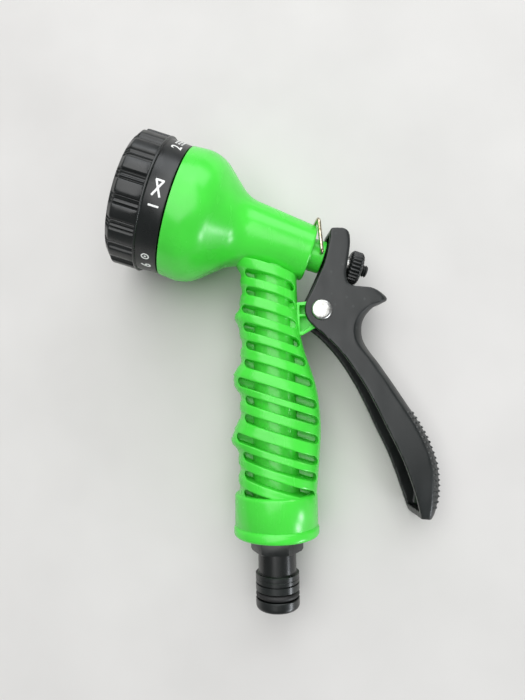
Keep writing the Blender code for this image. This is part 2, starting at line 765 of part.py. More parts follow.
def adjusting_nut(frames):
    """Make the toothed thumb nut on the stem's tail, and the washer in front of it."""
    front = NOSE_S - GAP
    washer = [(STEM_R + GAP, front), (WASHER_R, front), (WASHER_R, front - WASHER_THICK)]
    washer += [(STEM_R + GAP, front - WASHER_THICK)]
    finish(add_object("thrust_washer", lathe(washer, 18), frames["barrel"], steel()))
    top = front - WASHER_THICK - 0.1
    low = top - NUT_LENGTH
    levels = []
    for height, inset in ((top, 0.7), (top - 0.5, 0.0), (low + 0.5, 0.0), (low, 0.7)):
        loop = []
        for i in range(NUT_TEETH * 2):
            turn = math.pi * i / NUT_TEETH
            radius = NUT_R - inset - (0.5 if i % 2 else 0.0)
            loop.append((radius * math.cos(turn), radius * math.sin(turn), height))
        levels.append(loop)
    nut = add_object("adjusting_nut", loft(levels), frames["barrel"], black())
    combine(nut, rod(STEM_R + GAP, low - 1, top + 1, 16), "DIFFERENCE")
    finish(nut)


# ---------------------------------------------------------------- trigger

# Each row is a front point, a back point, a half width and the round of the back edge. They run
# from the fork's top past the horn and down the arm to its tip, in the nozzle's frame.
TRIGGER_ROWS = (
    ((23.6, 3.9), (28.2, 3.9), 7.8, 0.6),
    ((23.0, 3.0), (30.4, 2.6), 7.8, 1.0),
    ((22.4, -1.5), (31.0, -1.5), 7.8, 1.0),
    ((20.4, -9.6), (30.0, -8.6), 7.8, 0.8),
    ((17.6, -16.0), (29.0, -15.4), 7.8, 0.8),
    ((15.0, -21.4), (31.2, -19.2), 7.8, 0.8),
    ((12.8, -25.6), (39.4, -20.2), 7.8, 1.0),
    ((12.1, -28.0), (44.6, -23.2), 7.8, 2.0),
    ((12.1, -29.4), (45.4, -25.4), 7.8, 2.4),
    ((12.5, -31.4), (40.8, -27.4), 7.8, 3.0),
    ((13.8, -33.8), (36.8, -31.4), 7.8, 3.4),
    ((16.6, -36.6), (35.2, -36.6), 7.9, 3.8),
    ((21.0, -40.4), (36.4, -42.8), 8.1, 4.0),
    ((28.0, -48.4), (42.0, -51.0), 8.8, 4.0),
    ((36.0, -61.2), (50.0, -63.4), 9.8, 4.0),
    ((43.0, -76.0), (58.5, -77.6), 10.7, 4.0),
    ((49.0, -89.0), (63.2, -90.4), 11.0, 4.0),
    ((53.2, -101.4), (63.6, -101.8), 10.6, 4.0),
    ((55.2, -108.7), (62.0, -109.1), 9.4, 2.8),
    ((56.0, -111.7), (60.4, -112.1), 8.0, 1.4),
)
ARM_ROW = 11


def trigger_section(row, shrink=0.0):
    """Return the trigger's outer loop at one row: flat front, rounded back edges."""
    front, back, half, edge = row
    front = Vector((*front, 0.0))
    back = Vector((*back, 0.0))
    along = (back - front).normalized()
    across = Vector((0.0, 0.0, 1.0))
    loop = [front + across * (half - 0.5), front + along * 0.5 + across * half]
    for turn in (90.0, 60.0, 30.0, 0.0):
        angle = math.radians(turn)
        corner = back - along * edge * (1.0 - math.cos(angle))
        loop.append(corner + across * (half - edge * (1.0 - math.sin(angle))))
    mirrored = [Vector((p.x, p.y, -p.z)) for p in reversed(loop)]
    return loop + mirrored


def arm_cavity():
    """Return the hollow of the arm, open to the front."""
    sections = []
    for front, back, half, _ in TRIGGER_ROWS[ARM_ROW:-1]:
        front = Vector((*front, 0.0))
        back = Vector((*back, 0.0))
        along = (back - front).normalized()
        start = front - along * 4.0
        end = back - along * 2.6
        inner = half - CHEEK
        chamfer = 1.6
        half_loop = [start + Vector((0, 0, inner)), end + along * -chamfer + Vector((0, 0, inner))]
        half_loop.append(end + Vector((0, 0, inner - chamfer)))
        sections.append(half_loop + [Vector((p.x, p.y, -p.z)) for p in reversed(half_loop)])
    return loft(sections)


def barrel_point(s, t):
    """Return a point of the barrel's side view in the nozzle's (x, y)."""
    lean = math.radians(BARREL_LEAN)
    return (-s * math.cos(lean) + t * math.sin(lean), s * math.sin(lean) + t * math.cos(lean))


def nose_arc(radius, low, high, steps=8):
    """Return points of a round about the nose's centre, by height t from the stem's axis."""
    middle = NOSE_S + NOSE_ROUND
    points = []
    for i in range(steps + 1):
        t = low + (high - low) * i / steps
        points.append(barrel_point(middle - math.sqrt(radius * radius - t * t), t))
    return points


def fork_cavity():
    """Return the fork's hollow, which leaves a curved wall for the nut to bear on."""
    wall = nose_arc(NOSE_ROUND - CHEEK, -7.4, 7.4)
    outline = [(4.0, 1.6), (24.6, 1.6), barrel_point(-25.2, 9.6)]
    outline += wall[::-1]
    outline += [barrel_point(-25.2, -9.8), (26.6, -19.4), (29.6, -24.0)]
    outline += [(29.6, -30.0), (31.0, -36.0), (33.0, -42.5)]
    outline += [(20.0, -44.0), (4.0, -34.0)]
    return prism(outline, -FORK_HALF + CHEEK, FORK_HALF - CHEEK)


def nut_recess():
    """Return the space behind the curved wall, between the cheeks, that the nut turns in."""
    wall = nose_arc(NOSE_ROUND, -7.4, 8.6)
    outline = wall + [barrel_point(-40.0, 8.6), barrel_point(-40.0, -7.4)]
    return prism(outline, -FORK_HALF + CHEEK, FORK_HALF - CHEEK)


def stem_slot():
    """Return the upright slot that lets the stem through the fork's wall."""
    half = STEM_R + 0.4
    ends = [(half * math.cos(a), half * math.sin(a)) for a in (math.pi * i / 8 for i in range(9))]
    outline = [(x, y + 2.4) for x, y in ends] + [(-x, -y - 0.6) for x, y in ends]
    matrix = barrel_matrix() @ Matrix.Rotation(-math.pi / 2, 4, "Z")
    return turned(prism(outline, -36.0, -22.0), matrix)


def trigger_lever(frames):
    sections = [trigger_section(row) for row in TRIGGER_ROWS]
    bm = loft(sections)
    bmesh.ops.translate(bm, vec=(-PIVOT_X, -PIVOT_Y, 0), verts=bm.verts)
    lever = add_object("trigger_lever", bm, frames["pivot"], grey_black())
    to_pivot = Matrix.Translation((-PIVOT_X, -PIVOT_Y, 0))
    for cutter in (arm_cavity(), fork_cavity(), nut_recess(), stem_slot()):
        combine(lever, turned(cutter, to_pivot), "DIFFERENCE")
    combine(lever, rod(RIVET_R + GAP, -FORK_HALF - 1, FORK_HALF + 1, 16), "DIFFERENCE")
    return finish(lever, 30)


def pivot_rivet(frames):
    face = FORK_HALF + GAP
    half = [(RIVET_HEAD_R, face), (RIVET_HEAD_R, face + 0.5), (RIVET_HEAD_R - 0.6, face + 1.0)]
    half += [(RIVET_HEAD_R - 2.2, face + 1.3), (0, face + 1.4)]
    profile = [(r, -z) for r, z in reversed(half)] + [(RIVET_R, -face), (RIVET_R, face)] + half
    rivet = turned(lathe(profile, 20), Matrix.Translation((PIVOT_X, PIVOT_Y, 0)))
    finish(add_object("pivot_rivet", rivet, frames["nozzle"], steel()))


def lock_clip(frames):
    """Make the wire bail whose ends turn in the boss behind the barrel."""
    lean = math.radians(CLIP_LEAN)
    bend = 1.6
    low = [(0.0, 3.5)] + arc((bend, CLIP_HALF - bend), bend, 180, 90, 3)
    high = [(CLIP_LEG - x, y) for x, y in reversed(low[1:])]
    path = low + high
    path += [(x, -y) for x, y in reversed(path)]
    points = [(x * math.cos(lean), y, x * math.sin(lean)) for x, y in path]
    wire("lock_clip", points, CLIP_WIRE, frames["clip"], brass(), 1)


def settle(frames):
    """Lift the nozzle so that its lowest point is at z = 0, centred over the origin."""
    bpy.context.view_layer.update()
    graph = bpy.context.evaluated_depsgraph_get()
    corners = []
    for made in bpy.context.scene.objects:
        if made.type == "EMPTY":
            continue
        shape = made.evaluated_get(graph).to_mesh()
        corners += [made.matrix_world @ vert.co for vert in shape.vertices]
    low = Vector([min(p[i] for p in corners) for i in range(3)])
    high = Vector([max(p[i] for p in corners) for i in range(3)])
    middle = (low + high) / 2
    frames["nozzle"].location = (-middle.x, -middle.y, -low.z)
    bpy.context.view_layer.update()


def main():
    clear_scene()
    frames = make_frames()
    body_shell(frames)
    handle_grip(frames)
    end_collar(frames)
    quick_connector(frames)
    hose_end_seals(frames)
    filter_screen(frames)
    manifold_disc(frames)
    dial_hardware(frames)
    dial_screw(frames)
    dial_ring(frames)
    selector_disc(frames)
    chamber_block(frames)
    spray_face(frames)
    swirl_insert("cone_insert", 2, 1.1, frames)
    swirl_insert("mist_insert", 5, 0.6, frames)
    valve_stem(frames)
    gland(frames)
    adjusting_nut(frames)
    trigger_lever(frames)
    pivot_rivet(frames)
    lock_clip(frames)
    settle(frames)


if __name__ == "__main__":
    main()
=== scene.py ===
"""Hose spray nozzle: the visual model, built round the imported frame.

Shapes are worked out in millimetres in three frames of the nozzle's own. In the nozzle frame x
runs from the grip to the trigger, y up the handle and z across. In the barrel frame Z runs along
the barrel to the dial and X points up and away from the handle. In the handle frame Z is the
nozzle's y. Each frame is a matrix that also turns millimetres to metres.
"""

import json
import math
from functools import cache

import bmesh
import bpy
from bpy.props import FloatProperty, FloatVectorProperty, IntProperty, PointerProperty
from mathutils import Matrix, Vector


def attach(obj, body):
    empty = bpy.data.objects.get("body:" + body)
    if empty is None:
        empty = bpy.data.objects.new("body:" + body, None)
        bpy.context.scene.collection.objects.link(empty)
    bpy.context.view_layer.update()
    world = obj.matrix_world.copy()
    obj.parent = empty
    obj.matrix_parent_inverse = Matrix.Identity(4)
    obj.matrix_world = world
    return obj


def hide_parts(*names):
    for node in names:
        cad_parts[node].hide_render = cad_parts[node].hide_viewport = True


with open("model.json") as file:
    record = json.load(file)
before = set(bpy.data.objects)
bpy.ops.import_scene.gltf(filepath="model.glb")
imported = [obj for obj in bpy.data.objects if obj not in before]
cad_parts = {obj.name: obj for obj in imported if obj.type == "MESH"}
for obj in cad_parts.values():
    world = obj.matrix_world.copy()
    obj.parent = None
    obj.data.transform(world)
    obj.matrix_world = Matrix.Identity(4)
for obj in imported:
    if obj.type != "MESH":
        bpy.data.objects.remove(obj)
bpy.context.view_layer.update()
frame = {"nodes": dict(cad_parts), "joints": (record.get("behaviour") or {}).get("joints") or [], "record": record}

bl_info = {
    "name": "Hose spray nozzle",
    "version": (1, 0, 0),
    "blender": (4, 5, 0),
    "location": "3D View > Sidebar > Nozzle",
    "description": "Builds a garden hose spray nozzle piece by piece",
    "category": "Add Mesh",
}

MM = 0.001
JOINTS = {joint["name"]: joint for joint in frame["joints"]}

# The barrel leans forward of a right angle to the handle.
LEAN = math.radians(18.0)

# Barrel line, in the barrel frame: (radius, s).
RIM_S = 40.1
BELL_TOP_S = 34.0
BELL_ROUND = 15.0
NECK_ROUND = 13.0
NECK_FRONT = (13.8, 9.5)
REAR = (11.5, -16.1)
BOSS_R = 6.7
BOSS_END_S = -21.6
WALL = 2.2
BORE_R = 8.2
STEM_HOLE_R = 2.9
BORE_REAR_S = -13.5
SEAT_S = 12.0
SEAT_FRONT_S = 14.5
SEAT_R = 4.5
LEDGE_S = 27.4
LEDGE_R = 22.9
MOUTH_S = 34.2
MOUTH_R = 24.3

# Grip.
GRIP_TOP_T = -11.2
GRIP_POWER = 2.3
SLOT_FIRST_Y = -14.4
SLOT_PITCH = 7.13
SLOT_WIDTH = 3.3
SLOTS = 13
FRONT_RECESS = 0.6
SLOT_EDGE = 1.7
WEB_HALF = 1.2
GRIP_ALONG = 22
GRIP_ROUND = 8

# Dial stations along the barrel axis.
DIAL_REAR_S = 40.7
LABEL_REAR_R = 26.1
LABEL_FRONT_R = 26.6
EDGE_S = 48.7
KNURL_S = 49.6
CHAMFER_S = 59.0
DIAL_FRONT_S = 61.2
DIAL_FRONT_R = 24.9
DIAL_BORE_R = 24.0
PATTERN_R = 14.0
PATTERNS = 6
MARK_FIRST = -7.0

# Trigger.
PIVOT = (18.6, -29.1)
FORK_HALF = 7.8
CHEEK = 2.2
RIVET_R = 2.0
NOSE_S = -31.3
NOSE_ROUND = 12.0

# Valve tail.
STEM_R = 2.5
STEM_TIP_S = -40.9
THREAD_PITCH = 1.0
NUT_TOP_S = -32.5
NUT_LENGTH = 5.6
NUT_TEETH = 26

# Hex flange above the hose spigot.
FLANGE_FLAT = 9.0
FLANGE_TURN = -9.2

# Clip.
CLIP_HALF = 9.0
CLIP_LEG = 13.4
CLIP_LEAN = math.radians(22.4)


def linear(hexed):
    """Turn an sRGB hex colour to linear RGB."""
    values = [int(hexed[i : i + 2], 16) / 255 for i in (1, 3, 5)]
    return tuple(v / 12.92 if v <= 0.04045 else ((v + 0.055) / 1.055) ** 2.4 for v in values)


def rigid_barrel():
    """Return the barrel frame, without its scale, from the axes of the dial and the trigger."""
    along = Vector(JOINTS["dial_turn"]["axis"]).normalized()
    side = Vector(JOINTS["trigger_pivot"]["axis"]).normalized()
    turn = Matrix((side.cross(along), side, along)).transposed().to_4x4()
    return Matrix.Translation(JOINTS["dial_turn"]["pos_m"]) @ turn


def barrel_in_nozzle():
    along = Vector((-math.cos(LEAN), math.sin(LEAN), 0.0))
    up = Vector((math.sin(LEAN), math.cos(LEAN), 0.0))
    return Matrix((up, along.cross(up), along)).transposed().to_4x4()


TO_METRES = Matrix.Scale(MM, 4)
HANDLE_TURN = Matrix(((1, 0, 0, 0), (0, 0, 1, 0), (0, -1, 0, 0), (0, 0, 0, 1)))
RIGID_NOZZLE = rigid_barrel() @ barrel_in_nozzle().inverted()
BARREL = rigid_barrel() @ TO_METRES
NOZZLE = RIGID_NOZZLE @ TO_METRES
HANDLE = RIGID_NOZZLE @ HANDLE_TURN @ TO_METRES
CLIP = BARREL @ Matrix.Translation((0, 0, -20.0))


# ---------------------------------------------------------------- mesh helpers


def arc(centre, radius, start, end, steps):
    """Return points of an arc, angles in degrees, both ends included."""
    turns = [math.radians(start + (end - start) * i / steps) for i in range(steps + 1)]
    return [(centre[0] + radius * math.cos(a), centre[1] + radius * math.sin(a)) for a in turns]


def polar(radius, turn, height):
    return Vector((radius * math.cos(turn), radius * math.sin(turn), height))


def turns(count):
    return [math.tau * i / count for i in range(count)]


def lathe(profile, steps=128):
    """Turn (radius, height) points about Z. A profile that ends off the axis is closed."""
    bm = bmesh.new()
    verts = [bm.verts.new((r, 0.0, z)) for r, z in profile]
    edges = [bm.edges.new(pair) for pair in zip(verts, verts[1:])]
    if profile[0][0] > 0.0:
        edges.append(bm.edges.new((verts[-1], verts[0])))
    bmesh.ops.spin(
        bm, geom=verts + edges, cent=(0, 0, 0), axis=(0, 0, 1), angle=math.tau, steps=steps, use_merge=True
    )
    bmesh.ops.remove_doubles(bm, verts=bm.verts, dist=1e-4)
    return bm


def wrapped(loops, capped=False):
    """Bend a grid into a tube through loops that have the same number of points."""
    columns, rows = len(loops[0]), len(loops) - 1
    bm = bmesh.new()
    bmesh.ops.create_grid(bm, x_segments=columns, y_segments=rows, size=0.5)
    for vert in bm.verts:
        i = round((vert.co.x + 0.5) * columns) % columns
        vert.co = loops[round((vert.co.y + 0.5) * rows)][i]
    bmesh.ops.remove_doubles(bm, verts=bm.verts, dist=1e-5)
    if capped:
        bmesh.ops.holes_fill(bm, edges=[edge for edge in bm.edges if edge.is_boundary], sides=0)
    return bm


def prism(outline, low, high):
    """Extrude an (x, y) outline along Z."""
    bm = bmesh.new()
    face = bm.faces.new([bm.verts.new((x, y, low)) for x, y in outline])
    grown = bmesh.ops.extrude_face_region(bm, geom=[face])["geom"]
    moved = [part for part in grown if isinstance(part, bmesh.types.BMVert)]
    bmesh.ops.translate(bm, vec=(0, 0, high - low), verts=moved)
    return bm


def rod(radius, low, high, centre=(0.0, 0.0), steps=48):
    bm = bmesh.new()
    spot = Matrix.Translation((centre[0], centre[1], (low + high) / 2))
    bmesh.ops.create_cone(
        bm, cap_ends=True, segments=steps, radius1=radius, radius2=radius, depth=high - low, matrix=spot
    )
    return bm


def moved(bm, matrix):
    bmesh.ops.transform(bm, matrix=matrix, verts=bm.verts)
    return bm


def joined(parts):
    """Put several bmeshes into one."""
    whole = bmesh.new()
    for part in parts:
        holder = bpy.data.meshes.new("holder")
        part.to_mesh(holder)
        part.free()
        whole.from_mesh(holder)
        bpy.data.meshes.remove(holder)
    return whole


def mesh_object(name, bm, place):
    """Turn a bmesh in millimetres into an object at the origin, with its place in its mesh."""
    bmesh.ops.recalc_face_normals(bm, faces=bm.faces)
    bmesh.ops.transform(bm, matrix=place, verts=bm.verts)
    mesh = bpy.data.meshes.new(name)
    bm.to_mesh(mesh)
    bm.free()
    made = bpy.data.objects.new(name, mesh)
    bpy.context.scene.collection.objects.link(made)
    return made


def taken_back(piece, place):
    """Turn a piece back into a bmesh in millimetres."""
    bm = bmesh.new()
    bm.from_mesh(piece.data)
    bm.transform(place.inverted())
    bpy.data.objects.remove(piece, do_unlink=True)
    return bm


def curve_bmesh(curve, merge):
    """Turn a text or a curve into a bmesh, with points nearer than merge made one."""
    holder = bpy.data.objects.new(curve.name, curve)
    bpy.context.scene.collection.objects.link(holder)
    bpy.context.view_layer.update()
    mesh = bpy.data.meshes.new_from_object(holder)
    bpy.data.objects.remove(holder, do_unlink=True)
    bm = bmesh.new()
    bm.from_mesh(mesh)
    bpy.data.meshes.remove(mesh)
    bmesh.ops.remove_doubles(bm, verts=bm.verts, dist=merge)
    return bm


def settled(piece):
    """Make a piece's modifiers part of its mesh."""
    bpy.context.view_layer.update()
    graph = bpy.context.evaluated_depsgraph_get()
    result = bpy.data.meshes.new_from_object(piece.evaluated_get(graph), depsgraph=graph)
    piece.modifiers.clear()
    piece.data = result
    result.name = piece.name
    return piece


def carve(piece, bm, place, operation="DIFFERENCE"):
    """Cut a bmesh out of a piece, or join it on."""
    tool = mesh_object("tool", bm, place)
    step = piece.modifiers.new("carve", "BOOLEAN")
    step.object = tool
    step.operation = operation
    step.solver = "EXACT"
    settled(piece)
    bpy.data.objects.remove(tool, do_unlink=True)
    return piece


def soften(piece, width, segments=2, angle=35.0):
    """Round a piece's sharp edges, width in millimetres."""
    step = piece.modifiers.new("soften", "BEVEL")
    step.width = width * MM
    step.segments = segments
    step.limit_method = "ANGLE"
    step.angle_limit = math.radians(angle)
    step.use_clamp_overlap = True
    return settled(piece)


def finish(piece, look, body, nodes=(), angle=35.0):
    """Shade a piece, give it its material, and tie it to the frame."""
    piece.data.shade_smooth()
    piece.data.set_sharp_from_angle(angle=math.radians(angle))
    piece.data.materials.clear()
    piece.data.materials.append(look)
    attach(piece, body)
    if nodes:
        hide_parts(*nodes)
    return piece


# ---------------------------------------------------------------- materials


def add_node(tree, kind, settings=None, inputs=(), output=0):
    """Add a node, set or link its inputs by name or in order, and return one of its outputs."""
    made = tree.nodes.new(kind)
    for key, value in (settings or {}).items():
        setattr(made, key, value)
    for key, value in inputs.items() if isinstance(inputs, dict) else enumerate(inputs):
        if isinstance(value, bpy.types.NodeSocket):
            tree.links.new(value, made.inputs[key])
        else:
            made.inputs[key].default_value = value
    return made.outputs[output]


def blank_material(name):
    look = bpy.data.materials.new(name)
    look.use_nodes = True
    tree = look.node_tree
    return look, tree, tree.nodes["Principled BSDF"]


def uneven(tree, size_mm, detail=3.0, stretch=(1.0, 1.0, 1.0)):
    """Return an uneven pattern on the piece's own coordinates, its features size_mm across."""
    coords = add_node(tree, "ShaderNodeTexCoord", output="Object")
    spread = add_node(tree, "ShaderNodeMapping", inputs={"Vector": coords, "Scale": stretch})
    scale = 1000.0 / size_mm
    return add_node(tree, "ShaderNodeTexNoise", inputs={"Vector": spread, "Scale": scale, "Detail": detail})


def worn_edges(tree, start, end, amount):
    """Return how worn a spot is: nothing on flats, up to amount on sharp edges."""
    point = add_node(tree, "ShaderNodeNewGeometry", output="Pointiness")
    edge = add_node(tree, "ShaderNodeMapRange", inputs=(point, start, end, 0.0, amount))
    patchy = add_node(tree, "ShaderNodeMapRange", inputs=(uneven(tree, 2.0), 0.35, 0.65, 0.3, 1.0))
    return add_node(tree, "ShaderNodeMath", {"operation": "MULTIPLY"}, (edge, patchy))


def shaded(colour, factor=1.0):
    """Return a colour made darker or lighter, with its alpha."""
    return (*(min(1.0, channel * factor) for channel in colour), 1.0)


def dress(tree, shader, base, gloss, height, depth_mm):
    """Link a shader's colour and roughness, and a relief depth_mm deep."""
    relief = {"Strength": 1.0, "Distance": depth_mm * MM, "Height": height}
    bump = add_node(tree, "ShaderNodeBump", inputs=relief)
    for key, value in (("Base Color", base), ("Roughness", gloss), ("Normal", bump)):
        tree.links.new(value, shader.inputs[key])


def moulded(name, colour, worn_colour, roughness, grain_mm, depth_mm, wear=0.35, mottle=0.06):
    """Return an injection-moulded plastic or rubber.

    The mould's fine grain breaks up the gloss, slow flow marks change the colour a little,
    handling leaves finer dull smears, and edges rub lighter.
    """
    look, tree, shader = blank_material(name)
    flow = add_node(tree, "ShaderNodeMapRange", inputs=(uneven(tree, 14.0, 2.0), 0.3, 0.7, 0.0, 1.0))
    tones = {0: flow, 6: shaded(colour, 1 - mottle), 7: shaded(colour, 1 + mottle)}
    base = add_node(tree, "ShaderNodeMix", {"data_type": "RGBA"}, tones, 2)
    tones = {0: worn_edges(tree, 0.52, 0.62, wear), 6: base, 7: shaded(worn_colour)}
    worn = add_node(tree, "ShaderNodeMix", {"data_type": "RGBA"}, tones, 2)
    ends = (uneven(tree, 5.0, 6.0, (1.0, 0.35, 1.0)), 0.35, 0.75, roughness * 0.85, roughness * 1.3)
    smears = add_node(tree, "ShaderNodeMapRange", inputs=ends)
    dress(tree, shader, worn, smears, uneven(tree, grain_mm, 2.0), depth_mm)
    return look, shader


def metal(name, colour, dark, roughness, scratch_mm, depth_mm):
    """Return a plated metal: fine drawn scratches, duller spots, and darker dirt in its pits."""
    look, tree, shader = blank_material(name)
    dirt = add_node(tree, "ShaderNodeMapRange", inputs=(uneven(tree, 1.6, 4.0), 0.3, 0.6, 0.0, 1.0))
    tones = {0: dirt, 6: shaded(dark), 7: shaded(colour)}
    base = add_node(tree, "ShaderNodeMix", {"data_type": "RGBA"}, tones, 2)
    lines = uneven(tree, scratch_mm, 3.0, (1.0, 0.12, 1.0))
    ends = (lines, 0.3, 0.7, roughness * 0.7, roughness * 1.4)
    gloss = add_node(tree, "ShaderNodeMapRange", inputs=ends)
    dress(tree, shader, base, gloss, lines, depth_mm)
    shader.inputs["Metallic"].default_value = 1.0
    return look, shader


@cache
def green_abs():
    """ABS, glossy from a polished mould: bright, with a soft reflection of the window."""
    colours = bpy.context.scene.nozzle_colours
    look, shader = moulded("green ABS", tuple(colours.green), linear("#A8F29A"), 0.24, 0.5, 0.004, 0.25)
    shader.inputs["IOR"].default_value = 1.53
    shader.inputs["Subsurface Weight"].default_value = 0.12
    shader.inputs["Subsurface Radius"].default_value = (0.5, 1.0, 0.4)
    shader.inputs["Subsurface Scale"].default_value = 0.0015
    return look


@cache
def black_abs():
    """Black ABS, satin: grey where light grazes it, with pale rubbed edges."""
    colours = bpy.context.scene.nozzle_colours
    look, shader = moulded("black ABS", tuple(colours.black), linear("#3C4240"), 0.3, 0.35, 0.004, 0.35, 0.12)
    shader.inputs["IOR"].default_value = 1.53
    return look


@cache
def trigger_nylon():
    """Glass-filled nylon from a spark-eroded mould: a fine matte grain on dark grey."""
    colours = bpy.context.scene.nozzle_colours
    worn = linear("#4A504E")
    look, shader = moulded("trigger nylon", tuple(colours.trigger), worn, 0.38, 0.3, 0.008, 0.3, 0.12)
    shader.inputs["IOR"].default_value = 1.53
    return look


@cache
def natural_acetal():
    """Uncoloured acetal of the inner parts: milky and slightly waxy."""
    look, shader = moulded("natural acetal", linear("#E4E2DA"), linear("#F2F1EC"), 0.38, 0.4, 0.004, 0.2)
    shader.inputs["IOR"].default_value = 1.48
    return look


@cache
def nitrile_rubber():
    """Nitrile rubber, moulded: a dull black with a faint bloom."""
    return moulded("nitrile rubber", linear("#1B1B1B"), linear("#3A3A38"), 0.55, 0.25, 0.01, 0.4, 0.2)[0]


@cache
def zinc_steel():
    """Zinc-plated steel: bright, with fine drawing lines."""
    return metal("zinc steel", linear("#DCDCD8"), linear("#A9A9A4"), 0.28, 0.5, 0.003)[0]


@cache
def spring_wire():
    """Passivated spring wire: bright, with a faint yellow cast."""
    return metal("spring wire", linear("#D8D2BC"), linear("#8E7F58"), 0.2, 0.4, 0.002)[0]


@cache
def white_ink():
    """Pad-printed white ink: flat, with tiny pinholes that let the black through."""
    look, tree, shader = blank_material("white ink")
    pinholes = add_node(tree, "ShaderNodeMapRange", inputs=(uneven(tree, 0.5, 2.0), 0.24, 0.34, 0.0, 1.0))
    tones = {0: pinholes, 6: shaded(linear("#8C8F8E")), 7: shaded(linear("#F0F1EE"))}
    base = add_node(tree, "ShaderNodeMix", {"data_type": "RGBA"}, tones, 2)
    tree.links.new(base, shader.inputs["Base Color"])
    shader.inputs["Roughness"].default_value = 0.5
    return look


# ---------------------------------------------------------------- barrel


def bell_line(sizes, inset=0.0, steps=20):
    """Return the barrel's outer line from the rim to the rear, as (radius, s)."""
    rim, bell = sizes.rim_radius / MM - inset, sizes.bell_radius / MM
    slope = math.atan2(NECK_FRONT[0] - REAR[0], NECK_FRONT[1] - REAR[1])
    hollow_s = NECK_FRONT[1] - NECK_ROUND * math.sin(slope)
    hollow_r = NECK_FRONT[0] + NECK_ROUND * math.cos(slope)
    round_r = bell - BELL_ROUND
    reach = math.hypot(hollow_s - BELL_TOP_S, hollow_r - round_r)
    tilt = math.atan2(BELL_TOP_S - hollow_s, hollow_r - round_r)
    bend = math.degrees(tilt - math.acos((BELL_ROUND + NECK_ROUND) / reach))
    line = [(rim, RIM_S)]
    line += arc((round_r, BELL_TOP_S), BELL_ROUND - inset, 0, -bend, steps)
    line += arc((hollow_r, hollow_s), NECK_ROUND + inset, 180 - bend, 180 - math.degrees(slope), steps)
    return line


def barrel_profile(sizes):
    """Return the closed outline of the bell, the barrel, its rear boss and the bore."""
    line = bell_line(sizes)
    outer = list(line)
    outer[0] = (line[0][0] - 0.25, RIM_S)
    outer.insert(1, (line[0][0] - 0.05, RIM_S - 0.08))
    outer.insert(2, (line[0][0], RIM_S - 0.3))
    outer += arc((REAR[0] - 1.0, REAR[1] + 1.0), 1.0, 0, -90, 8)
    outer += arc((BOSS_R + 0.6, REAR[1] - 0.6), 0.6, 90, 180, 5)
    outer += arc((BOSS_R - 0.5, BOSS_END_S + 0.5), 0.5, 0, -90, 5)
    inner = [(STEM_HOLE_R + 0.3, BOSS_END_S), (STEM_HOLE_R, BOSS_END_S + 0.3), (STEM_HOLE_R, BORE_REAR_S)]
    inner += [(BORE_R, BORE_REAR_S), (BORE_R, SEAT_S), (SEAT_R, SEAT_S), (SEAT_R, SEAT_FRONT_S)]
    bell = reversed(bell_line(sizes, WALL))
    inner += [(r, s) for r, s in bell if r < LEDGE_R and SEAT_FRONT_S < s < LEDGE_S]
    inner += [(LEDGE_R, LEDGE_S), (LEDGE_R, MOUTH_S), (MOUTH_R, MOUTH_S)]
    inner += [(MOUTH_R, RIM_S - 0.2), (MOUTH_R + 0.2, RIM_S)]
    return outer + inner


def make_barrel(sizes):
    shell = mesh_object("barrel", lathe(barrel_profile(sizes), 160), BARREL)
    finish(shell, green_abs(), "body", ["body_shell"], 30)
    tube = [(7.2, -8.5), (7.5, -8.8), (9.9, -116.9), (9.5, -117.3)]
    tube += [(8.0, -117.3), (8.0, -106.3), (6.9, -106.3), (5.4, -8.5)]
    finish(mesh_object("inlet_tube", lathe(tube, 96), HANDLE), green_abs(), "body")


# ---------------------------------------------------------------- grip


def bump_at(y, centre, height, spread):
    return height * math.exp(-(((y - centre) / spread) ** 2))


def grip_front(y):
    """Return x of the grip's front edge, with its three finger bumps."""
    base = 13.2 + 1.9 * (-y / 100.0) ** 2
    bumps = bump_at(y, -31.5, 2.4, 4.6) + bump_at(y, -56.0, 3.3, 4.6) + bump_at(y, -79.2, 3.4, 5.0)
    return -(base + bumps + bump_at(y, -9.0, 1.6, 4.0))


def grip_back(y):
    """Return x of the grip's back edge: straight, then a long swell."""
    swell = 8.8 / (1.0 + math.exp((y + 50.5) / 6.3))
    return 9.7 + swell - 2.4 * max(0.0, (-y - 74.0) / 27.0) ** 1.3


def grip_half(y):
    """Return the grip's half depth across z."""
    return 10.8 + 4.2 * min(1.0, max(0.0, (-y - 12.0) / 80.0))


def row_ends(t):
    """Return the nozzle x of the front and back edges along a line at barrel height t."""
    ends = []
    for edge in (grip_front, grip_back):
        x = 0.0
        for _ in range(30):
            x = edge((t - x * math.sin(LEAN)) / math.cos(LEAN))
        ends.append(x)
    return ends


def front_recess(t):
    """Return how far the front edge is set back at a slot, between the ends of two ribs."""
    near = min(abs(t - height) for height in SLOT_HEIGHTS)
    share = min(1.0, max(0.0, (2.2 - near) / 1.1))
    return FRONT_RECESS * share * share * (3 - 2 * share)


def grip_point(x, t, sink=0.0):
    """Return the point of the grip's skin at nozzle x and barrel height t."""
    y = (t - x * math.sin(LEAN)) / math.cos(LEAN)
    front, back = grip_front(y), grip_back(y)
    share = min(1.0, abs((2 * x - front - back) / (back - front)))
    z = grip_half(y) * (1.0 - share**GRIP_POWER) ** (1.0 / GRIP_POWER)
    if 2 * x < front + back:
        x += front_recess(t) * min(1.0, max(0.0, (share - 0.7) / 0.25))
    return Vector((x, y, z - sink))


def slot_heights():
    """Return each slot's height t in the barrel frame."""
    heights = []
    for index in range(SLOTS):
        y = SLOT_FIRST_Y - SLOT_PITCH * index
        heights.append((grip_front(y) + SLOT_EDGE + SLOT_WIDTH / 2) * math.sin(LEAN) + y * math.cos(LEAN))
    return heights


SLOT_HEIGHTS = slot_heights()


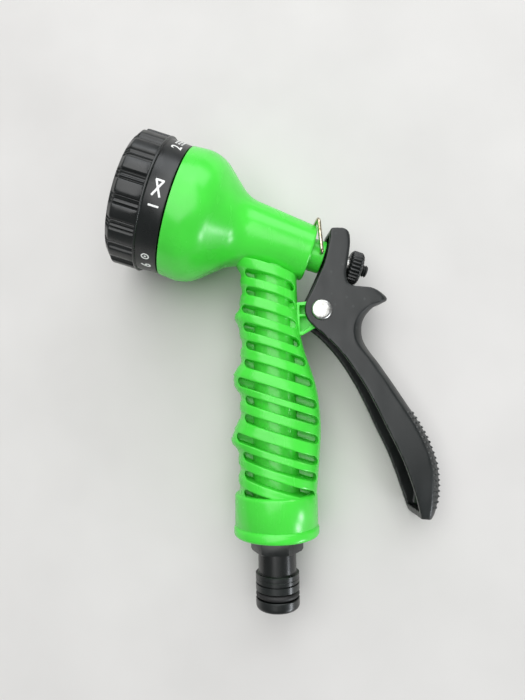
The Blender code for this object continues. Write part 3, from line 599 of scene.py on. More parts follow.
def to_turn(x, t):
    """Return how far round the row a point lies, from 0 at the back edge to pi at the front."""
    front, back = row_ends(t)
    share = max(-1.0, min(1.0, (2 * x - front - back) / (back - front)))
    return math.acos(math.copysign(abs(share) ** (GRIP_POWER / 2), share))


def from_turn(turn, t):
    front, back = row_ends(t)
    c = math.cos(turn)
    share = math.copysign(abs(c) ** (2 / GRIP_POWER), c)
    return (front + back) / 2 + (back - front) / 2 * share


def slot_line(index, half):
    """Return a slot's barrel height, and the nozzle x of its two round ends' centres."""
    t = SLOT_HEIGHTS[index]
    start = grip_front(SLOT_FIRST_Y - SLOT_PITCH * index) + SLOT_EDGE + half
    end = start + 10.0
    for _ in range(30):
        end = grip_back((t - end * math.sin(LEAN)) / math.cos(LEAN)) - SLOT_EDGE - half
    return t, start, end


def cell_edge(high, low):
    """Return the loop round one slot's share of the skin, as (turn, t)."""
    loop = [(math.pi * (1 - i / GRIP_ALONG), high) for i in range(GRIP_ALONG)]
    loop += [(0.0, high + (low - high) * k / GRIP_ROUND) for k in range(GRIP_ROUND)]
    loop += [(math.pi * i / GRIP_ALONG, low) for i in range(GRIP_ALONG)]
    loop += [(math.pi, low + (high - low) * k / GRIP_ROUND) for k in range(GRIP_ROUND)]
    return loop


def slot_ring(slot, radius):
    """Return a loop round a slot at a distance from its middle line, as (x, t)."""
    t, start, end = slot
    ahead = 1.0 / math.cos(LEAN)
    loop = [(start + (end - start) * i / GRIP_ALONG, t + radius) for i in range(GRIP_ALONG)]
    for k in range(GRIP_ROUND):
        a = math.pi * (0.5 - k / GRIP_ROUND)
        loop.append((end + radius * math.cos(a) / ahead, t + radius * math.sin(a)))
    loop += [(end + (start - end) * i / GRIP_ALONG, t - radius) for i in range(GRIP_ALONG)]
    for k in range(GRIP_ROUND):
        a = math.pi * (-0.5 - k / GRIP_ROUND)
        loop.append((start + radius * math.cos(a) / ahead, t + radius * math.sin(a)))
    return loop


def grip_cell(slot, high, low, half):
    """Return one side of the skin round one slot, with the slot's rounded rim, walls and floor."""
    border = cell_edge(high, low)
    rim = [(to_turn(x, t), t) for x, t in slot_ring(slot, half + 0.4)]
    loops = []
    for share in (0.0, 0.1, 0.25, 0.45, 0.7, 1.0):
        mixed = [(a[0] + (b[0] - a[0]) * share, a[1] + (b[1] - a[1]) * share) for a, b in zip(border, rim)]
        loops.append([grip_point(from_turn(turn, t), t) for turn, t in mixed])
    for spread, sink in ((0.2, 0.06), (0.06, 0.2), (0.0, 0.45)):
        loops.append([grip_point(x, t, sink) for x, t in slot_ring(slot, half + spread)])
    for height, spread in ((WEB_HALF + 0.5, -0.15), (WEB_HALF + 0.1, -0.25), (WEB_HALF, -0.5)):
        ring = [grip_point(x, t) for x, t in slot_ring(slot, half + spread)]
        loops.append([Vector((p.x, p.y, height)) for p in ring])
    bm = wrapped(loops)
    floor = [v for v in bm.verts if abs(v.co.z - WEB_HALF) < 1e-4]
    inner = [e for e in bm.edges if e.is_boundary and all(v in floor for v in e.verts)]
    bmesh.ops.holes_fill(bm, edges=inner, sides=0)
    return bm


def grip_end(t, inward):
    """Return the loops that round over an end of the grip."""
    loops = []
    for inset, step in ((0.0, 0.0), (0.08, 0.22), (0.25, 0.36), (0.6, 0.4)):
        loop = []
        for i in range(2 * GRIP_ALONG):
            turn = math.pi * i / GRIP_ALONG
            p = grip_point(from_turn(turn if turn <= math.pi else math.tau - turn, t), t)
            p.z = p.z if turn <= math.pi else -p.z
            middle = sum(row_ends(t)) / 2
            shrink = 1.0 - inset / 11.0
            x = middle + (p.x - middle) * shrink
            y = (t + step * inward - x * math.sin(LEAN)) / math.cos(LEAN)
            loop.append(Vector((x, y, p.z * shrink)))
        loops.append(loop)
    return loops


def make_grip(sizes):
    half = sizes.slot_width / MM / 2
    slots = [slot_line(i, half) for i in range(SLOTS)]
    top = GRIP_TOP_T - 0.4
    borders = [top] + [(a[0] + b[0]) / 2 for a, b in zip(slots, slots[1:])]
    borders.append(slots[-1][0] - half - 1.9)
    cells = []
    for slot, high, low in zip(slots, borders, borders[1:]):
        cells.append(grip_cell(slot, high, low, half))
        cells.append(moved(grip_cell(slot, high, low, half), Matrix.Scale(-1, 4, (0, 0, 1))))
    cells.append(wrapped(grip_end(top, 1.0)))
    bm = joined(cells)
    bmesh.ops.remove_doubles(bm, verts=bm.verts, dist=1e-3)
    bmesh.ops.holes_fill(bm, edges=[edge for edge in bm.edges if edge.is_boundary], sides=0)
    grip = mesh_object("grip", bm, NOZZLE)
    finish(grip, green_abs(), "body", ["handle_grip"], 50)
    make_lug()


def make_lug():
    """Make the ribbed lug that carries the trigger."""
    outline = [(6.0, -26.1)] + arc(PIVOT, 5.0, 128, -66, 24) + [(11.1, -38.9), (6.0, -38.9)]
    lug = mesh_object("trigger_lug", prism(outline, -5.0, 5.0), NOZZLE)
    pockets = [[(10.2, -26.9), (14.0, -26.9), (13.0, -30.4), (10.2, -30.4)]]
    pockets.append([(10.2, -31.4), (13.2, -31.4), (15.6, -34.3), (11.6, -37.4), (10.2, -37.4)])
    for pocket in pockets:
        carve(lug, prism(pocket, 1.0, 7.0), NOZZLE)
        carve(lug, prism(pocket, -7.0, -1.0), NOZZLE)
    carve(lug, rod(RIVET_R + 0.3, -6.0, 6.0, PIVOT), NOZZLE)
    soften(lug, 0.25)
    finish(lug, green_abs(), "body")


# ---------------------------------------------------------------- hose end


def make_collar(sizes):
    """Make the end collar: a rounded top rim, a straight wall, and a lip below a fine crease."""
    r = sizes.collar_radius / MM
    profile = [(13.8, -100.9)] + arc((r - 1.3, -102.2), 1.3, 90, 0, 8)
    profile += [(r + 0.05, -112.9), (r - 0.25, -113.3), (r - 0.25, -113.5)]
    profile += [(r + 0.3, -114.0), (r + 0.5, -114.6)]
    profile += arc((r - 0.9, -116.2), 1.4, 0, -90, 8)
    profile += [(10.2, -117.6), (10.2, -110.6), (13.8, -110.6)]
    collar = mesh_object("end_collar_shell", lathe(profile, 128), HANDLE)
    finish(collar, green_abs(), "body", ["end_collar"], 40)


def hex_flange():
    """Return the hex flange, its corners chamfered by a cone."""
    corner = FLANGE_FLAT / math.cos(math.pi / 6)
    hexagon = arc((0, 0), corner, FLANGE_TURN, FLANGE_TURN + 300, 5)
    flange = mesh_object("flange", prism(hexagon, -123.6, -117.9), Matrix.Identity(4))
    cone = [(0, -125.0), (corner - 1.8, -125.0), (corner + 0.6, -122.2), (corner + 0.6, -116.0), (0, -116.0)]
    carve(flange, lathe(cone, 96), Matrix.Identity(4), "INTERSECT")
    carve(flange, rod(6.6, -126.0, -116.0), Matrix.Identity(4))
    soften(flange, 0.25 / MM, 2, 25)
    return taken_back(flange, Matrix.Identity(4))


def make_connector(sizes):
    """Make the hose spigot: a neck, a stepped ring section with two grooves, and a hex flange."""
    r = sizes.spigot_radius / MM
    profile = [(5.7, -108.5), (7.7, -108.5), (7.7, -118.2), (7.5, -118.4), (7.5, -131.8)]
    profile += [(7.6, -131.9), (r - 0.2, -131.95)]
    profile += [(r, -132.15), (r, -133.5), (r - 0.2, -133.65), (r - 0.2, -134.0), (r - 0.05, -134.15)]
    profile += [(r - 0.05, -135.3), (r - 0.5, -135.45), (r - 0.5, -135.75), (r, -135.9)]
    profile += [(r, -138.3), (r - 0.2, -138.5), (5.9, -138.5), (5.9, -141.5), (r - 0.2, -141.5), (r, -141.7)]
    profile += [(r, -143.7)] + arc((r - 1.6, -144.1), 1.6, 0, -90, 6)
    profile += [(4.7, -145.7), (4.5, -145.5), (4.5, -113.0), (5.7, -113.0)]
    spigot = mesh_object("hose_spigot", joined([lathe(profile, 112), hex_flange()]), HANDLE)
    finish(spigot, black_abs(), "body", ["quick_connector"], 40)
    ring = lathe(arc((r - 1.2, -140.0), 1.2, 0, 342, 19), 112)
    finish(mesh_object("spigot_ring", ring, HANDLE), nitrile_rubber(), "body", ["connector_oring"])


# ---------------------------------------------------------------- dial


def knurl_radius(turn, sizes):
    """Return the knurl's radius: broad lobes, and between them a sunk gap with two fine ribs."""
    pitch = math.tau / sizes.lobe_count
    place = (turn / pitch + 0.5) % 1.0 - 0.5
    lobe = sizes.dial_radius / MM - 0.1
    groove = lobe - 1.15
    spot = abs(place)
    if spot < 0.27:
        return lobe - 0.25 * (spot / 0.27) ** 4
    if spot < 0.32:
        return lobe - 0.25 - (lobe - 0.25 - groove) * (spot - 0.27) / 0.05
    ridge = math.exp(-(((spot - 0.415) / 0.03) ** 2))
    return groove + 0.75 * ridge


def dial_loop(s, radius, share, sizes, columns):
    """Return a loop at s, part way (share) from a plain circle to the knurl."""
    loop = []
    for turn in turns(columns):
        knurl = knurl_radius(turn, sizes) - sizes.dial_radius / MM
        loop.append(polar(radius + knurl * share, turn, s))
    return loop


def make_dial(sizes):
    """Make the dial ring: a label band, a raised edge, the knurl and a chamfered front rim."""
    edge = sizes.dial_radius / MM
    levels = [(DIAL_REAR_S + 0.25, LABEL_REAR_R, 0), (DIAL_REAR_S + 0.6, LABEL_REAR_R + 0.02, 0)]
    levels += [(EDGE_S - 0.35, LABEL_FRONT_R, 0), (EDGE_S - 0.1, LABEL_FRONT_R + 0.12, 0)]
    levels += [(EDGE_S, edge - 0.25, 0), (EDGE_S + 0.12, edge - 0.05, 0), (EDGE_S + 0.3, edge, 0)]
    levels += [(KNURL_S - 0.25, edge, 0), (KNURL_S - 0.08, edge - 0.08, 0), (KNURL_S, edge - 0.2, 0.2)]
    levels += [(KNURL_S + 0.05, edge - 0.15, 0.85), (KNURL_S + 0.3, edge, 1)]
    levels += [(s, edge, 1) for s in (52.0, 54.5, 57.0)]
    levels += [(CHAMFER_S - 0.3, edge, 1), (CHAMFER_S + 0.1, edge - 0.15, 1)]
    levels += [(CHAMFER_S + 0.6, edge - 0.75, 0.95)]
    levels += [(DIAL_FRONT_S - 0.5, DIAL_FRONT_R + 0.35, 0.5), (DIAL_FRONT_S - 0.1, DIAL_FRONT_R - 0.1, 0.1)]
    levels += [(DIAL_FRONT_S, DIAL_FRONT_R - 0.35, 0), (DIAL_FRONT_S, DIAL_BORE_R + 0.3, 0)]
    levels += [(DIAL_FRONT_S - 0.25, DIAL_BORE_R, 0), (DIAL_REAR_S, DIAL_BORE_R, 0)]
    levels += [(DIAL_REAR_S, LABEL_REAR_R - 0.3, 0), (DIAL_REAR_S + 0.08, LABEL_REAR_R - 0.06, 0)]
    columns = 30 * sizes.lobe_count
    loops = [dial_loop(s, radius, share, sizes, columns) for s, radius, share in levels]
    loops.append(loops[0])
    ring = mesh_object("dial_grip_ring", wrapped(loops), BARREL)
    finish(ring, black_abs(), "dial", ["dial_ring"], 50)


def numeral(text, height):
    """Return a thin numeral as a bmesh, its lower left corner at the origin."""
    curve = bpy.data.curves.new("numeral", "FONT")
    curve.body = text
    curve.size = height / 0.73
    curve.extrude = 0.06
    curve.offset = 0.09
    curve.resolution_u = 6
    return curve_bmesh(curve, 1e-3)


def bar(x0, y0, x1, y1, width=0.75):
    """Return a flat bar between two points, cut into short lengths so that it can bend."""
    along = Vector((x1 - x0, y1 - y0))
    bm = bmesh.new()
    bmesh.ops.create_cube(bm, size=1.0)
    bmesh.ops.scale(bm, vec=(along.length, width, 0.12), verts=bm.verts)
    long_edges = [e for e in bm.edges if abs(e.verts[0].co.x - e.verts[1].co.x) > 0.5 * along.length]
    bmesh.ops.subdivide_edges(bm, edges=long_edges, cuts=max(1, int(along.length / 1.2)), use_grid_fill=True)
    turn = Matrix.Rotation(math.atan2(along.y, along.x), 4, "Z")
    return moved(bm, Matrix.Translation(((x0 + x1) / 2, (y0 + y1) / 2, 0)) @ turn)


def dot(x, y, radius=0.45):
    return rod(radius, -0.06, 0.06, (x, y), 16)


def spray_sign(index):
    """Return a small sign for a spray pattern, about 7 mm long."""
    if index == 0:
        return [bar(0.4, 0.5, 6.4, 3.4), bar(0.4, 3.5, 6.4, 0.6), bar(6.4, 0.4, 6.4, 3.6)]
    if index == 1:
        return [dot(x, y) for x in (0.8, 2.4, 4.0, 5.6) for y in (0.8, 2.0, 3.2)]
    if index == 2:
        return [bar(0.4, 2.0, 6.6, 2.0, 0.9)]
    if index == 3:
        return [bar(0.4, 2.0, 6.6, 2.0), bar(0.4, 2.3, 6.4, 3.6), bar(0.4, 1.7, 6.4, 0.4)]
    if index == 4:
        return [dot(0.8 + 0.9 * i, 2.0 + 1.3 * math.sin(2.4 * i), 0.26) for i in range(7)]
    ring = lathe([(1.1, -0.06), (1.6, -0.06), (1.6, 0.06), (1.1, 0.06)], 28)
    return [moved(ring, Matrix.Translation((3.0, 2.0, 0))), dot(3.0, 2.0, 0.45)]


def mark_bmesh(index):
    """Return one printed mark, wrapped onto the label band."""
    sign = [moved(b, Matrix.Translation((4.4, 0, 0))) for b in spray_sign(index)]
    flat = joined([numeral(str(index + 1), 4.0)] + sign)
    middle = math.radians(MARK_FIRST + index * 360.0 / PATTERNS)
    start = DIAL_REAR_S + 2.0
    for vert in flat.verts:
        s = start + vert.co.y
        share = (s - DIAL_REAR_S) / (EDGE_S - DIAL_REAR_S)
        radius = LABEL_REAR_R + (LABEL_FRONT_R - LABEL_REAR_R) * share + 0.035 + vert.co.z
        turn = middle + (vert.co.x - 5.8) / LABEL_REAR_R
        vert.co = Vector((radius * math.sin(turn), -radius * math.cos(turn), s))
    return flat


def make_marks():
    bm = joined([mark_bmesh(index) for index in range(PATTERNS)])
    finish(mesh_object("dial_marks", bm, BARREL), white_ink(), "dial")


def around(radius, index):
    turn = math.tau * index / PATTERNS
    return (radius * math.cos(turn), radius * math.sin(turn))


def make_face():
    """Make the front disc with its six spray patterns, each in a shallow ring."""
    profile = [(0, 56.0), (23.7, 56.0), (23.7, 57.9), (23.4, 58.2), (21.6, 58.2), (21.3, 57.9), (0, 57.9)]
    face = mesh_object("front_disc", lathe(profile, 128), BARREL)
    x, y = around(PATTERN_R, 1)
    holes = [rod(0.6, 55, 60, (x, y), 20)]
    for ring, count in ((2.0, 6), (3.7, 12)):
        for i in range(count):
            turn = math.tau * i / count
            holes.append(rod(0.42, 55, 60, (x + ring * math.cos(turn), y + ring * math.sin(turn)), 14))
    holes += [rod(1.5, 55, 60, around(PATTERN_R, 0)), rod(2.5, 55, 60)]
    holes.append(rod(2.8, 55, 60, around(PATTERN_R, 3)))
    holes += [rod(3.6, 55, 60, around(PATTERN_R, 2)), rod(3.6, 55, 60, around(PATTERN_R, 5))]
    slot = prism([(-4.0, -0.6), (4.0, -0.6), (4.0, 0.6), (-4.0, 0.6)], 55, 60)
    x, y = around(PATTERN_R, 4)
    holes.append(moved(slot, Matrix.Translation((x, y, 0)) @ Matrix.Rotation(math.radians(330), 4, "Z")))
    carve(face, joined(holes), BARREL)
    rim = [(5.0, 57.6), (5.6, 57.6), (5.5, 58.35), (5.35, 58.45), (5.15, 58.45), (5.05, 58.35)]
    spots = [Matrix.Translation((*around(PATTERN_R, i), 0)) for i in range(PATTERNS)]
    rims = [moved(lathe(rim, 56), spot) for spot in spots]
    front = mesh_object("front_disc", joined([taken_back(face, BARREL)] + rims), BARREL)
    finish(front, black_abs(), "dial", ["spray_face"], 30)


# ---------------------------------------------------------------- valve tail


def thread_radius(s, turn):
    """Return the stem's radius on its threaded tail, which the nut runs on."""
    phase = (s / THREAD_PITCH - turn / math.tau) % 1.0
    ridge = min(1.0, max(0.0, 1.6 * abs(2 * phase - 1.0) - 0.3))
    return STEM_R - 0.42 * (1.0 - ridge)


def make_stem():
    plain = [(STEM_R, -24.0), (STEM_R, 5.0), (6.2, 5.0), (6.2, 7.2)]
    plain += [(1.8, 7.2), (1.8, 12.0), (2.9, 12.1), (2.5, 13.4)]
    count = 130
    rows = [(None, STEM_TIP_S + 0.5 + 16.4 * j / count) for j in range(count)]
    rows = [(STEM_R - 0.5, STEM_TIP_S), (STEM_R - 0.25, STEM_TIP_S + 0.2)] + rows + plain
    loops = [[polar(r or thread_radius(s, turn), turn, s) for turn in turns(40)] for r, s in rows]
    bm = wrapped(loops, capped=True)
    finish(mesh_object("pull_rod", bm, BARREL), black_abs(), "stem", ["valve_stem"], 35)


def make_nut(sizes):
    """Make the thumb nut: fine rounded teeth, chamfered ends, and a bore for the thread."""
    radius = sizes.nut_radius / MM
    low = NUT_TOP_S - NUT_LENGTH
    levels = [(NUT_TOP_S, 3.2), (NUT_TOP_S, 1.3), (NUT_TOP_S - 0.12, 1.0), (NUT_TOP_S - 0.8, 0.25)]
    levels += [(NUT_TOP_S - 1.1, 0.05), (NUT_TOP_S - 1.4, 0.0)]
    levels += [(low + 1.4, 0.0), (low + 1.1, 0.05), (low + 0.8, 0.25), (low + 0.12, 1.0)]
    levels += [(low, 1.3), (low, 3.2), (low + 0.3, 3.5), (NUT_TOP_S - 0.3, 3.5), (NUT_TOP_S, 3.2)]
    loops = []
    for s, inset in levels:
        fade = max(0.0, 1.0 - inset / 1.3)
        loop = []
        for turn in turns(8 * NUT_TEETH):
            depth = 0.6 * (0.5 - 0.5 * math.cos(NUT_TEETH * turn)) ** 2 * fade
            loop.append(polar(radius - inset - depth, turn, s))
        loops.append(loop)
    bm = wrapped(loops)
    finish(mesh_object("thumb_nut", bm, BARREL), black_abs(), "nut", ["adjusting_nut"], 50)


# ---------------------------------------------------------------- trigger

# Front point, back point, half width and back edge's round, from the fork's top to the arm's tip.
TRIGGER_ROWS = (
    ((23.6, 3.9), (28.2, 3.9), 7.8, 0.6),
    ((23.0, 3.0), (30.4, 2.6), 7.8, 1.0),
    ((22.4, -1.5), (31.0, -1.5), 7.8, 1.0),
    ((20.4, -9.6), (30.0, -8.6), 7.8, 0.8),
    ((17.6, -16.0), (29.0, -15.4), 7.8, 0.8),
    ((15.0, -21.4), (31.2, -19.2), 7.8, 0.8),
    ((12.8, -25.6), (39.4, -20.2), 7.8, 1.0),
    ((12.1, -28.0), (44.6, -23.2), 7.8, 2.0),
    ((12.1, -29.4), (45.4, -25.4), 7.8, 2.4),
    ((12.5, -31.4), (40.8, -27.4), 7.8, 3.0),
    ((13.8, -33.8), (36.8, -31.4), 7.8, 3.4),
    ((16.6, -36.6), (35.2, -36.6), 7.9, 3.8),
    ((21.0, -40.4), (36.4, -42.8), 8.1, 4.0),
    ((28.0, -48.4), (42.0, -51.0), 8.8, 4.0),
    ((36.0, -61.2), (50.0, -63.4), 9.8, 4.0),
    ((43.0, -76.0), (58.5, -77.6), 10.7, 4.0),
    ((49.0, -89.0), (63.2, -90.4), 11.0, 4.0),
    ((53.2, -101.4), (63.6, -101.8), 10.6, 4.0),
    ((55.2, -108.7), (62.0, -109.1), 9.4, 2.8),
    ((56.0, -111.7), (60.4, -112.1), 8.0, 1.4),
)
ARM_ROW = 11
ROW_STEPS = 4
EDGE_BOW = 0.06
STUD_ROWS = (14.5, 18.0)
STUD_PITCH = 2.1
VOXEL = 0.42


def trigger_row(place):
    """Return a row part way down the trigger, on a smooth line through the table's rows."""
    index = min(int(place), len(TRIGGER_ROWS) - 2)
    f = place - index
    ends = len(TRIGGER_ROWS) - 1
    rows = [TRIGGER_ROWS[min(max(index + k, 0), ends)] for k in (-1, 0, 1, 2)]
    flat = [(*row[0], *row[1], row[2], row[3]) for row in rows]
    mixed = []
    for a, b, c, d in zip(*flat):
        mixed.append(b + 0.5 * f * (c - a + f * (2 * a - 5 * b + 4 * c - d + f * (3 * (b - c) + d - a))))
    return (mixed[0], mixed[1]), (mixed[2], mixed[3]), mixed[4], max(0.4, mixed[5])


def trigger_section(row, steps=8):
    """Return the trigger's outer loop at one row: flat front, back edges that bow between creases."""
    front, back, half, edge = row
    front = Vector((*front, 0.0))
    back = Vector((*back, 0.0))
    along = (back - front).normalized()
    across = Vector((0.0, 0.0, 1.0))
    loop = [front + across * half]
    for i in range(steps + 1):
        share = i / steps
        bow = EDGE_BOW * edge * math.sin(math.pi * share)
        loop.append(back - along * (edge * (1.0 - share) - bow) + across * (half - edge * share + bow))
    return loop + [Vector((p.x, p.y, -p.z)) for p in reversed(loop)]


def arm_hollow():
    """Return the arm's hollow, open to the front."""
    loops = []
    for row in TRIGGER_ROWS[ARM_ROW:-1]:
        front, back, half, _ = row
        front = Vector((*front, 0.0))
        back = Vector((*back, 0.0))
        along = (back - front).normalized()
        start, end = front - along * 4.0, back - along * 2.6
        inner = half - CHEEK
        loop = [start + Vector((0, 0, inner)), end - along * 1.6 + Vector((0, 0, inner))]
        loop.append(end + Vector((0, 0, inner - 1.6)))
        loops.append(loop + [Vector((p.x, p.y, -p.z)) for p in reversed(loop)])
    return wrapped(loops, capped=True)


def barrel_point(s, t):
    """Return a point of the barrel's side view in the nozzle's (x, y)."""
    return (-s * math.cos(LEAN) + t * math.sin(LEAN), s * math.sin(LEAN) + t * math.cos(LEAN))


def nose_arc(radius, low, high, steps=24):
    middle = NOSE_S + NOSE_ROUND
    heights = [low + (high - low) * i / steps for i in range(steps + 1)]
    return [barrel_point(middle - math.sqrt(radius * radius - t * t), t) for t in heights]


def fork_hollow():
    outline = [(4.0, 1.6), (24.6, 1.6), barrel_point(-25.2, 9.6)]
    outline += nose_arc(NOSE_ROUND - CHEEK, -7.4, 7.4)[::-1]
    outline += [barrel_point(-25.2, -9.8), (26.6, -19.4), (29.6, -24.0)]
    outline += [(29.6, -30.0), (31.0, -36.0), (33.0, -42.5), (20.0, -44.0), (4.0, -34.0)]
    return prism(outline, -FORK_HALF + CHEEK, FORK_HALF - CHEEK)


def nut_recess():
    outline = nose_arc(NOSE_ROUND, -7.4, 8.6) + [barrel_point(-40.0, 8.6), barrel_point(-40.0, -7.4)]
    return prism(outline, -FORK_HALF + CHEEK, FORK_HALF - CHEEK)


def stem_slot():
    """Return the upright slot that lets the stem through the fork's wall."""
    half = STEM_R + 0.4
    ends = [(half * math.cos(a), half * math.sin(a)) for a in (math.pi * i / 16 for i in range(17))]
    outline = [(x, y + 2.4) for x, y in ends] + [(-x, -y - 0.6) for x, y in ends]
    turn = barrel_in_nozzle() @ Matrix.Rotation(-math.pi / 2, 4, "Z")
    return moved(prism(outline, -36.0, -22.0), turn)


def make_trigger():
    count = (len(TRIGGER_ROWS) - 1) * ROW_STEPS
    loops = [trigger_section(trigger_row(j / ROW_STEPS)) for j in range(count + 1)]
    lever = mesh_object("trigger", wrapped(loops, capped=True), NOZZLE)
    for hollow in (arm_hollow(), fork_hollow(), nut_recess(), stem_slot()):
        carve(lever, hollow, NOZZLE)
    carve(lever, rod(RIVET_R + 0.3, -9.0, 9.0, PIVOT), NOZZLE)
    remesh = lever.modifiers.new("even mesh", "REMESH")
    remesh.mode = "VOXEL"
    remesh.voxel_size = VOXEL * MM
    smooth = lever.modifiers.new("rounded edges", "SMOOTH")
    smooth.factor = 0.5
    smooth.iterations = 2
    settled(lever)
    finish(lever, trigger_nylon(), "trigger", ["trigger_lever"], 60)
    make_studs()


def make_studs():
    """Make the rows of small pyramids that roughen the back of the arm's lower half."""
    studs = []
    place, last = STUD_ROWS[0], None
    while place < STUD_ROWS[1]:
        row = trigger_row(place)
        back = Vector((*row[1], 0.0))
        if last is None or (back - last).length >= STUD_PITCH:
            studs += stud_row(row)
            last = back
        place += 0.01
    piece = mesh_object("trigger_studs", joined(studs), NOZZLE)
    finish(piece, trigger_nylon(), "trigger", angle=20)


def stud_row(row):
    """Return one row of studs, spread over the arm's back from crease to crease."""
    loop = trigger_section(row, 12)[1:-1]
    along = (Vector((*row[1], 0.0)) - Vector((*row[0], 0.0))).normalized()
    lengths = [0.0]
    for a, b in zip(loop, loop[1:]):
        lengths.append(lengths[-1] + (b - a).length)
    count = int(lengths[-1] / STUD_PITCH)
    studs = []
    for k in range(count):
        reach = lengths[-1] * (k + 0.5) / count
        index = next(i for i in range(1, len(lengths)) if lengths[i] >= reach)
        a, b = loop[index - 1], loop[index]
        spot = a.lerp(b, (reach - lengths[index - 1]) / max(1e-6, lengths[index] - lengths[index - 1]))
        side = (b - a).normalized()
        out = (along - side * along.dot(side)).normalized()
        turn = Matrix((side, out.cross(side), out)).transposed().to_4x4()
        stud = bmesh.new()
        place = Matrix.Translation(spot + out * 0.2) @ turn @ Matrix.Rotation(math.pi / 4, 4, "Z")
        bmesh.ops.create_cone(
            stud, cap_ends=True, segments=4, radius1=0.8, radius2=0.15, depth=0.7, matrix=place
        )
        studs.append(stud)
    return studs


def make_rivet():
    """Make the rivet: two low, nearly flat heads with rounded rims."""
    face = FORK_HALF + 0.3
    head = [(3.95, face), (4.05, face + 0.15), (4.05, face + 0.45), (3.9, face + 0.75), (3.5, face + 0.98)]
    head += [(2.9, face + 1.1), (1.7, face + 1.18), (0, face + 1.22)]
    profile = [(r, -z) for r, z in reversed(head)] + [(RIVET_R, -face), (RIVET_R, face)] + head
    bm = moved(lathe(profile, 64), Matrix.Translation((*PIVOT, 0)))
    finish(mesh_object("rivet", bm, NOZZLE), zinc_steel(), "body", ["pivot_rivet"], 40)


def make_clip(sizes):
    """Make the wire bail, with round bends, whose ends turn in the boss."""
    bend = 1.6
    low = [(0.0, 3.5)] + arc((bend, CLIP_HALF - bend), bend, 180, 90, 8)
    path = low + [(CLIP_LEG - x, y) for x, y in reversed(low[1:])]
    path += [(x, -y) for x, y in reversed(path)]
    curve = bpy.data.curves.new("clip", "CURVE")
    curve.dimensions = "3D"
    curve.bevel_depth = sizes.wire_radius / MM
    curve.bevel_resolution = 5
    curve.use_fill_caps = True
    spline = curve.splines.new("POLY")
    spline.points.add(len(path) - 1)
    for point, (x, y) in zip(spline.points, path):
        point.co = (x * math.cos(CLIP_LEAN), y, x * math.sin(CLIP_LEAN), 1.0)
    bm = curve_bmesh(curve, 1e-4)
    finish(mesh_object("wire_clip", bm, CLIP), spring_wire(), "clip", ["lock_clip"], 60)


# ---------------------------------------------------------------- inner pieces


def finish_cad_nodes():
    """Give every CAD node that still shows its own finish."""
    looks = {
        "black_plastic": black_abs,
        "inner_plastic": natural_acetal,
        "rubber": nitrile_rubber,
        "steel": zinc_steel,
    }
    slots = {part["node"]: part["material_slot"] for part in frame["record"]["subparts"]}
    for name, node in frame["nodes"].items():
        if node.hide_render:
            continue
        node.data.materials.clear()
        node.data.materials.append(looks[slots[name]]())


# ---------------------------------------------------------------- stage


def make_floor():
    bm = bmesh.new()
    bmesh.ops.create_grid(bm, x_segments=1, y_segments=1, size=1500.0)
    floor = mesh_object("floor", bm, TO_METRES)
    look, tree, shader = blank_material("pale paper")
    soft = add_node(tree, "ShaderNodeMapRange", inputs=(uneven(tree, 60.0, 3.0), 0.3, 0.7, 0.0, 1.0))
    tones = {0: soft, 6: shaded(linear("#CFCDCA")), 7: shaded(linear("#D6D4D1"))}
    base = add_node(tree, "ShaderNodeMix", {"data_type": "RGBA"}, tones, 2)
    tree.links.new(base, shader.inputs["Base Color"])
    shader.inputs["Roughness"].default_value = 0.85
    floor.data.materials.append(look)


def add_light(name, place, target, size, energy, tint="#FFFFFF"):
    light = bpy.data.lights.new(name, "AREA")
    light.shape = "RECTANGLE"
    light.size, light.size_y = size
    light.energy = energy
    light.color = linear(tint)
    lamp = bpy.data.objects.new(name, light)
    bpy.context.scene.collection.objects.link(lamp)
    lamp.location = place
    lamp.rotation_euler = (Vector(target) - Vector(place)).to_track_quat("-Z", "Y").to_euler()
    return lamp


def from_direction(azimuth, elevation, distance):
    """Return the point at a distance from the origin in a direction given in degrees."""
    a, e = math.radians(azimuth), math.radians(elevation)
    level = distance * math.cos(e)
    return (level * math.cos(a), level * math.sin(a), distance * math.sin(e))


def make_lights():
    """Light from a broad soft ceiling, a paler wall behind the barrel, and a low window of two panes."""
    centre = (0, 0, 0.02)
    add_light("ceiling", (-0.1, 0.25, 1.3), centre, (1.5, 1.5), 17.0)
    add_light("wall", from_direction(80, 35, 1.3), centre, (1.6, 0.7), 9.0, "#F8FBFF")
    add_light("left pane", from_direction(-44, 12, 1.1), centre, (0.14, 0.22), 2.2, "#F4F9FF")
    add_light("right pane", from_direction(-30, 12, 1.1), centre, (0.14, 0.22), 2.2, "#F4F9FF")
    world = bpy.context.scene.world or bpy.data.worlds.new("World")
    bpy.context.scene.world = world
    world.use_nodes = True
    sky = world.node_tree.nodes["Background"]
    sky.inputs["Color"].default_value = (*linear("#E9ECEF"), 1.0)
    sky.inputs["Strength"].default_value = 0.3


def make_camera():
    """Place the camera above the nozzle, a little off square to it."""
    turn = Matrix.Rotation(math.radians(-3.61), 4, "X") @ Matrix.Rotation(math.radians(3.31), 4, "Y")
    turn = turn @ Matrix.Rotation(math.radians(0.89), 4, "Z")
    view = Matrix.Translation((3.9 * MM, 44.3 * MM, -221.7 * MM)) @ turn
    data = bpy.data.cameras.new("camera")
    data.sensor_width = 36.0
    data.lens = 36.0 * 540.0 / 700.0
    data.clip_start = 0.01
    camera = bpy.data.objects.new("camera", data)
    bpy.context.scene.collection.objects.link(camera)
    camera.matrix_world = RIGID_NOZZLE @ view.inverted()
    bpy.context.scene.camera = camera
    bpy.context.scene.view_settings.view_transform = "Standard"


# ---------------------------------------------------------------- add-on


def length(name, description, value_mm):
    return FloatProperty(
        name=name, description=description, default=value_mm * MM, unit="LENGTH", precision=4
    )


def colour(name, description, hexed):
    return FloatVectorProperty(
        name=name, description=description, default=linear(hexed), size=3, subtype="COLOR", min=0.0, max=1.0
    )


